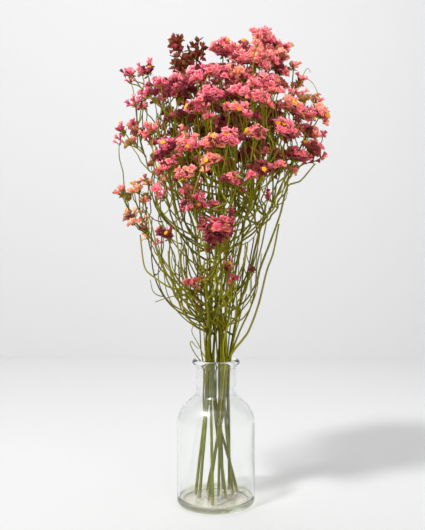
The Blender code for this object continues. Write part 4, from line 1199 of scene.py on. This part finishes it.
# one stalk with its branches and thin twigs, put into the pile. Returns the places along it that can bear more.
def addStalk(pile, bunch, at, k, rng):
    still, thick = rodsOf(bunch, at, k, "trunk")
    trunk = sway(still, rng, np.interp(still[0, :, 2], *stray["trunkSway"])[:, None])
    # pale where it is cut, in its lowest millimetre
    cut = (trunk[..., 2] < trunk[:, :1, 2] + 1)[..., None] * 0.8
    thick = thick * (1 + rng.normal(0, 0.03, thick.shape))
    addTubes(pile, trunk, thick, 9, rng, 0.07, tone=rng.uniform(0.2, 0.8), gold=cut)
    branches, thick = rodsOf(bunch, at, k, "branch")
    if len(branches):
        branches = sway(carried(branches, still[0], trunk[0]), rng, stray["branchSway"])
        addTubes(pile, branches, thick, 7, rng, 0.06, tone=rng.uniform(0.1, 0.8, len(branches)))
    twigs, thick = rodsOf(bunch, at, k, "twig")
    twigs = carried(twigs, still[0], trunk[0])
    addTubes(pile, twigs, thick, 6, rng, tone=0.5)
    addStems(pile, besidePaths(trunk[0], rng), stemRows["beside"], stray["besideThick"], 6, rng, 0.05,
             tone=rng.uniform(0, 1, stray["besides"]))
    bearing = np.concatenate([trunk[:, 22:52:2].reshape(-1, 3), branches[:, :12].reshape(-1, 3)])
    paths = smoothPaths(strayPaths(bearing, rng), stemRows["stray"])
    thick = np.linspace(*stray["thick"], stemRows["stray"]) * rng.uniform(0.8, 1.25, (len(paths), 1))
    addTubes(pile, paths, thick, 5, rng, tone=rng.uniform(0, 1, len(paths)))
    # a side sprig on each thin twig
    sprigs = addStems(pile, sprigPaths(paths, stray["sprigAt"], rng), stemRows["sprig"], stray["sprigThick"], 4, rng,
                      tone=rng.uniform(0, 1, len(paths)))
    # buds on the tips, and small scales where twigs leave
    ends = [paths, sprigs, twigs]
    tips = np.concatenate([end[:, -1] for end in ends])
    along = unit(tips - np.concatenate([end[:, -2] for end in ends]))
    count = len(tips)
    addBracts(pile, tips - along * 0.6, along, rng.uniform(2.2, 4.2, count), rng.uniform(0.5, 0.8, count), rng,
              tone=rng.uniform(0, 1, count), leaf=1.0)
    starts = [paths, sprigs, branches]
    nodes = np.concatenate([start[:, 0] for start in starts] + [trunk[0, 12:58:4]])
    way = np.concatenate([start[:, 1] for start in starts] + [trunk[0, 13:59:4]]) - nodes
    count = len(nodes)
    addBracts(pile, nodes, unit(unit(way) + rng.normal(0, 0.25, way.shape)), rng.uniform(3, 5, count),
              rng.uniform(0.8, 1.3, count), rng, tone=rng.uniform(0, 0.5, count), leaf=1.0)
    return np.concatenate([trunk.reshape(-1, 3), branches.reshape(-1, 3), paths[:, 8:16].reshape(-1, 3)])


# a twig to a spot, from the place that is closest to a drop below it and stands at least 9 mm lower than the spot.
# Returns the number of the stalk that it leaves and its last direction.
def addTwigTo(greenPiles, spot, drop, spots, owner, rng):
    tooHigh = spots[:, 2] > spot[2] - 9
    cost = np.linalg.norm((spots - spot + up * drop) * (1, 1, 0.6), axis=1) + 1000 * tooHigh
    best = int(np.argmin(cost))
    start, k = spots[best], owner[best]
    span = np.linalg.norm(spot - start)
    level = unit((spot - start) * (1, 1, 0.2))
    arrive = unit(up + outward(spot) * 0.5 + rng.normal(0, 0.3, 3))
    path = bend(start, start + unit(level + up * 0.8) * span * 0.35, spot - arrive * span * 0.35, spot, 6)
    path[1:-1] += rng.normal(0, span * 0.02, (4, 3))
    addStems(greenPiles[k], path[None], stemRows["tuft"], stray["tuftThick"], 5, rng, tone=rng.uniform(0, 1))
    return k, arrive


# one narrow cone: rows of small closed calyces that wind up along it and point up
def addCone(greenPiles, flowerPiles, foot, tall, wide, spots, owner, rng):
    k, _ = addTwigTo(greenPiles, foot, 30, spots, owner, rng)
    rings, each = int(tall / 2.6), 5  # one row to 2.6 mm
    share = np.repeat(np.arange(rings) / rings, each)
    turn = np.arange(rings * each) * 2.4  # the golden angle
    side = np.stack([np.cos(turn), np.sin(turn), 0 * turn], axis=1)
    middle = foot + up * (share * tall)[:, None] + side * (wide * (0.45 - 0.3 * share))[:, None]
    addTubes(flowerPiles[k], np.stack([foot - up, foot + up * tall]), 0.6, 5, rng, tone=0.2)
    count = rings * each
    addFlorets(flowerPiles[k], middle, unit(up + side * 0.42), np.full(count, wide * 0.55), np.full(count, 4.4), rng,
               hue=np.clip(rng.normal(0.16, 0.06, count), 0, 1), tone=np.clip(rng.normal(0.3, 0.14, count), 0.03, 1))


# one small tuft on a twig of its own
def addTuft(greenPiles, flowerPiles, spot, bright, spots, owner, rng):
    k, arrive = addTwigTo(greenPiles, spot, rng.uniform(*stray["tuftBelow"]), spots, owner, rng)
    count = int(rng.integers(3, 7))
    axis = unit(arrive + up * 0.3)
    ways = spreadWays(axis, count, rng, 0.8)
    # most tufts at the left are closed buds, and some of those near the edges are green
    closed = rng.uniform() < (0.75 if spot[0] < -60 else 0.35)
    mouth = rng.uniform(*((1.5, 2.2) if closed else (2.8, 4.2)), count)
    addFlorets(flowerPiles[k], spot + ways * 0.8, ways, mouth, rng.uniform(5.2, 7.6, count), rng,
               hue=np.clip(hueOf(spot, rng) + rng.normal(0, 0.08, count), 0, 1),
               tone=np.clip(rng.normal(bright, 0.15, count), 0.05, 1),
               leaf=0.75 if rng.uniform() < 0.2 and abs(spot[0]) > 80 else 0.0)
    ways = ways[:3]
    addBracts(flowerPiles[k], spot - axis * 1.5 + ways * 0.2, ways, rng.uniform(3, 4.2, 3), rng.uniform(0.8, 1.2, 3),
              rng, leaf=1.0, tone=rng.uniform(0.1, 0.8, 3))


# all the green of the stalks, and the small tufts on twigs of their own
def makeStalks(bunch, at, clusters, heads, greenLook, tuftLook):
    rng = np.random.default_rng(21)
    green = [Pile() for _ in stalks]
    tufts = [Pile() for _ in stalks]
    lines = [addStalk(green[k], bunch, at, k, rng) for k in range(len(stalks))]
    # the strands that show, each from a place a little below its foot on the stalk that passes closest
    for path, thick in zip(strands, strandThick):
        root = np.array(path[0]) - up * 16
        near = [np.linalg.norm(spots - root, axis=1) for spots in lines]
        k = int(np.argmin([far.min() for far in near]))
        path = np.vstack([lines[k][np.argmin(near[k])], path])
        addStems(green[k], path[None], stemRows["strand"], thick, 6, rng, tone=rng.uniform(0.4, 0.9))
    # the twigs of the sprays bear tufts too, for the stalk that each spray grows on
    bearer = {rod[-1]: own for rod, own in zip(bunch.rods, bunch.owner) if own < len(stalks)}
    for rod, own in zip(bunch.rods, bunch.owner):
        if own >= len(stalks):
            lines[bearer[rod[0]]] = np.vstack([lines[bearer[rod[0]]], smoothPaths(at[rod][None], 12)[0, :9]])
    spots = np.concatenate(lines)
    owner = np.repeat(np.arange(len(lines)), [len(line) for line in lines])
    for place in tuftPlaces(at, heads, bunch, clusters, rng):
        addTuft(green, tufts, place[:3], place[3], spots, owner, rng)
    for foot, tall, wide in cones:
        addCone(green, tufts, np.array(foot, float), tall, wide, spots, owner, rng)
    for k in range(len(stalks)):
        green[k].make("stalkGreen_%02d" % (k + 1), greenLook, "dried_stem", "stalk_%02d" % (k + 1))
        if tufts[k].count:
            tufts[k].make("smallTufts_%02d" % (k + 1), tuftLook, "rose_calyx")


# every spray: its twigs, and its clusters of calyces or of brown bracts. Those at the upper right are coral.
def makeSprays(bunch, at, clusters, sprays, heads, looks):
    rng = np.random.default_rng(33)
    for s, members in enumerate(sprays):
        pile = Pile()
        isBrown = members[0] in brownOnes
        paths, thick = rodsOf(bunch, at, len(stalks) + s, "fork")
        addTubes(pile, paths, thick * np.linspace(1.0, 0.75, stemRows["fork"]), 6, rng, tone=0.1 if isBrown else 0.45)
        if isBrown:
            addBrownLeaves(pile, paths, rng)
        for rod, c, owner in heads:
            if owner != s:
                continue
            middle, under = at[bunch.rods[rod][-1]], at[bunch.rods[rod][-2]]
            axis = unit(unit(middle - under) * 0.5 + up * 0.5 + outward(middle) * 0.35)
            if isBrown:
                addBrownHead(pile, middle, clusters[c, 3], axis, rng)
            else:
                addHead(pile, middle, clusters[c, 3], axis, rng, hueOf(middle, rng))
        middle = clusters[members, :3].mean(0)
        kind = "bract" if isBrown else "coral" if middle[0] > 20 and middle[2] > 430 else "rose"
        slot = {"bract": "brown_bract", "coral": "coral_calyx", "rose": "rose_calyx"}[kind]
        pile.make("%sSpray_%02d" % (kind, s + 1), looks[kind], slot, "spray_%02d" % (s + 1))


# how far behind the bunch the wall stands, how wide and long the table is, in metres, and their colours
stage = {
    "wallAt": 1.2, "halfWidth": 3.0, "front": -3.0, "wallTop": 3.0,
    "floorTint": (234, 234, 234), "wallTint": (230, 230, 231),
}


# one flat sheet of the stage from its four corners
def makeSheet(name, corners, look):
    mesh = bpy.data.meshes.new(name)
    mesh.from_pydata(corners, [], [(0, 1, 2, 3)])
    mesh.materials.append(look)
    sheet = bpy.data.objects.new(name, mesh)
    bpy.context.scene.collection.objects.link(sheet)


# pale matt paint. A wall is clear from behind, so that it hides nothing from the other side.
def stageLook(name, colour, clearBehind=False):
    paint = Paint(name)
    soft = paint.noise(paint.place(), 3.0, 2.0)
    shade = paint.mix(soft * 0.06, colour, [c - 12 for c in colour])
    made = paint.finish(shade, 0.75 + soft * 0.1)
    if clearBehind:
        behind = paint.node("ShaderNodeNewGeometry", {}, {}, 6)
        paint.cover(behind, paint.node("ShaderNodeBsdfTransparent", {}, {}))
    return made


def makeStage():
    half, front, wall, top = stage["halfWidth"], stage["front"], stage["wallAt"], stage["wallTop"]
    makeSheet("tableTop", [(-half, front, 0), (half, front, 0), (half, wall, 0), (-half, wall, 0)],
              stageLook("paleTable", stage["floorTint"]))
    makeSheet("backWall", [(-half, wall, 0), (half, wall, 0), (half, wall, top), (-half, wall, top)],
              stageLook("paleWall", stage["wallTint"], True))


# where each lamp is and what it looks at, in metres, its width and height, and its power in watts, then how strong
# the sky is as light, and where it is seen
lamps = {
    "key": {"place": (-1.25, -1.3, 2.5), "aim": (0.0, 0.0, 0.25), "size": (0.36, 0.36), "power": 55.0},
    "fill": {"place": (0.9, -1.8, 1.1), "aim": (0.0, 0.0, 0.4), "size": (1.2, 1.2), "power": 6.5},
    "wall": {"place": (0.2, 0.1, 1.0), "aim": (0.1, 1.2, 0.6), "size": (1.4, 1.4), "power": 4.0},
    "sky": 0.365, "skySeen": 0.82,
}


# a flat lamp turned to its aim. Only the key lamp shows in glossy surfaces.
def makeLamp(name, settings):
    data = bpy.data.lights.new(name, "AREA")
    data.shape = "RECTANGLE"
    data.size, data.size_y = settings["size"]
    data.energy = settings["power"]
    lamp = bpy.data.objects.new(name, data)
    bpy.context.scene.collection.objects.link(lamp)
    toAim = np.array(settings["aim"]) - np.array(settings["place"])
    lamp.visible_camera = False
    lamp.visible_glossy = name == "keyLamp"
    lamp.location = settings["place"]
    across, ahead, rise = toAim
    lamp.rotation_euler = (np.arctan2(np.hypot(across, ahead), -rise), 0.0, np.arctan2(-across, ahead))


def makeLights():
    for name in ("key", "fill", "wall"):
        makeLamp(name + "Lamp", lamps[name])
    # the sky lights softly, and is pale where it is seen past the stage or through the glass
    world = bpy.data.worlds.new("studio")
    world.use_nodes = True
    nodes, links = world.node_tree.nodes, world.node_tree.links
    sky = nodes["Background"]
    sky.inputs["Color"].default_value = (1.0, 1.0, 1.0, 1.0)
    kinds = ("ShaderNodeLightPath", "ShaderNodeMath", "ShaderNodeMapRange")
    rays, seen, strength = (nodes.new(kind) for kind in kinds)
    seen.operation = "MAXIMUM"
    links.new(rays.outputs["Is Camera Ray"], seen.inputs[0])
    links.new(rays.outputs["Is Transmission Ray"], seen.inputs[1])
    links.new(seen.outputs[0], strength.inputs["Value"])
    strength.inputs["To Min"].default_value = lamps["sky"]
    strength.inputs["To Max"].default_value = lamps["skySeen"]
    links.new(strength.outputs[0], sky.inputs["Strength"])
    bpy.context.scene.world = world
    bpy.context.scene.view_settings.view_transform = "Standard"


# where the camera stands, in metres, how many degrees it looks down, and its lens in millimetres
camera = {"place": (-0.00425, -0.9, 0.310), "tilt": 1.25, "lens": 50.33}


# it looks along y, and down by its tilt
def makeCamera():
    data = bpy.data.cameras.new("photoCamera")
    data.sensor_width = 36.0
    data.lens = camera["lens"]
    data.dof.use_dof = False
    eye = bpy.data.objects.new("photoCamera", data)
    bpy.context.scene.collection.objects.link(eye)
    eye.location = camera["place"]
    eye.rotation_euler = (np.radians(90 - camera["tilt"]), 0.0, 0.0)
    bpy.context.scene.camera = eye


makeCamera()
makeStage()
makeLights()
print("camera, stage and lights")
makeVase(glassLook())
print("vase")
bunch, at, clusters, sprays, heads = buildBunch()
print("lines of the bunch")
looks = {"rose": calyxLook("roseCalyx", 0.0), "coral": calyxLook("coralCalyx", 0.03), "bract": bractLook()}
makeStalks(bunch, at, clusters, heads, stemLook(), looks["rose"])
print("stalks and tufts")
makeSprays(bunch, at, clusters, sprays, heads, looks)
print("sprays")
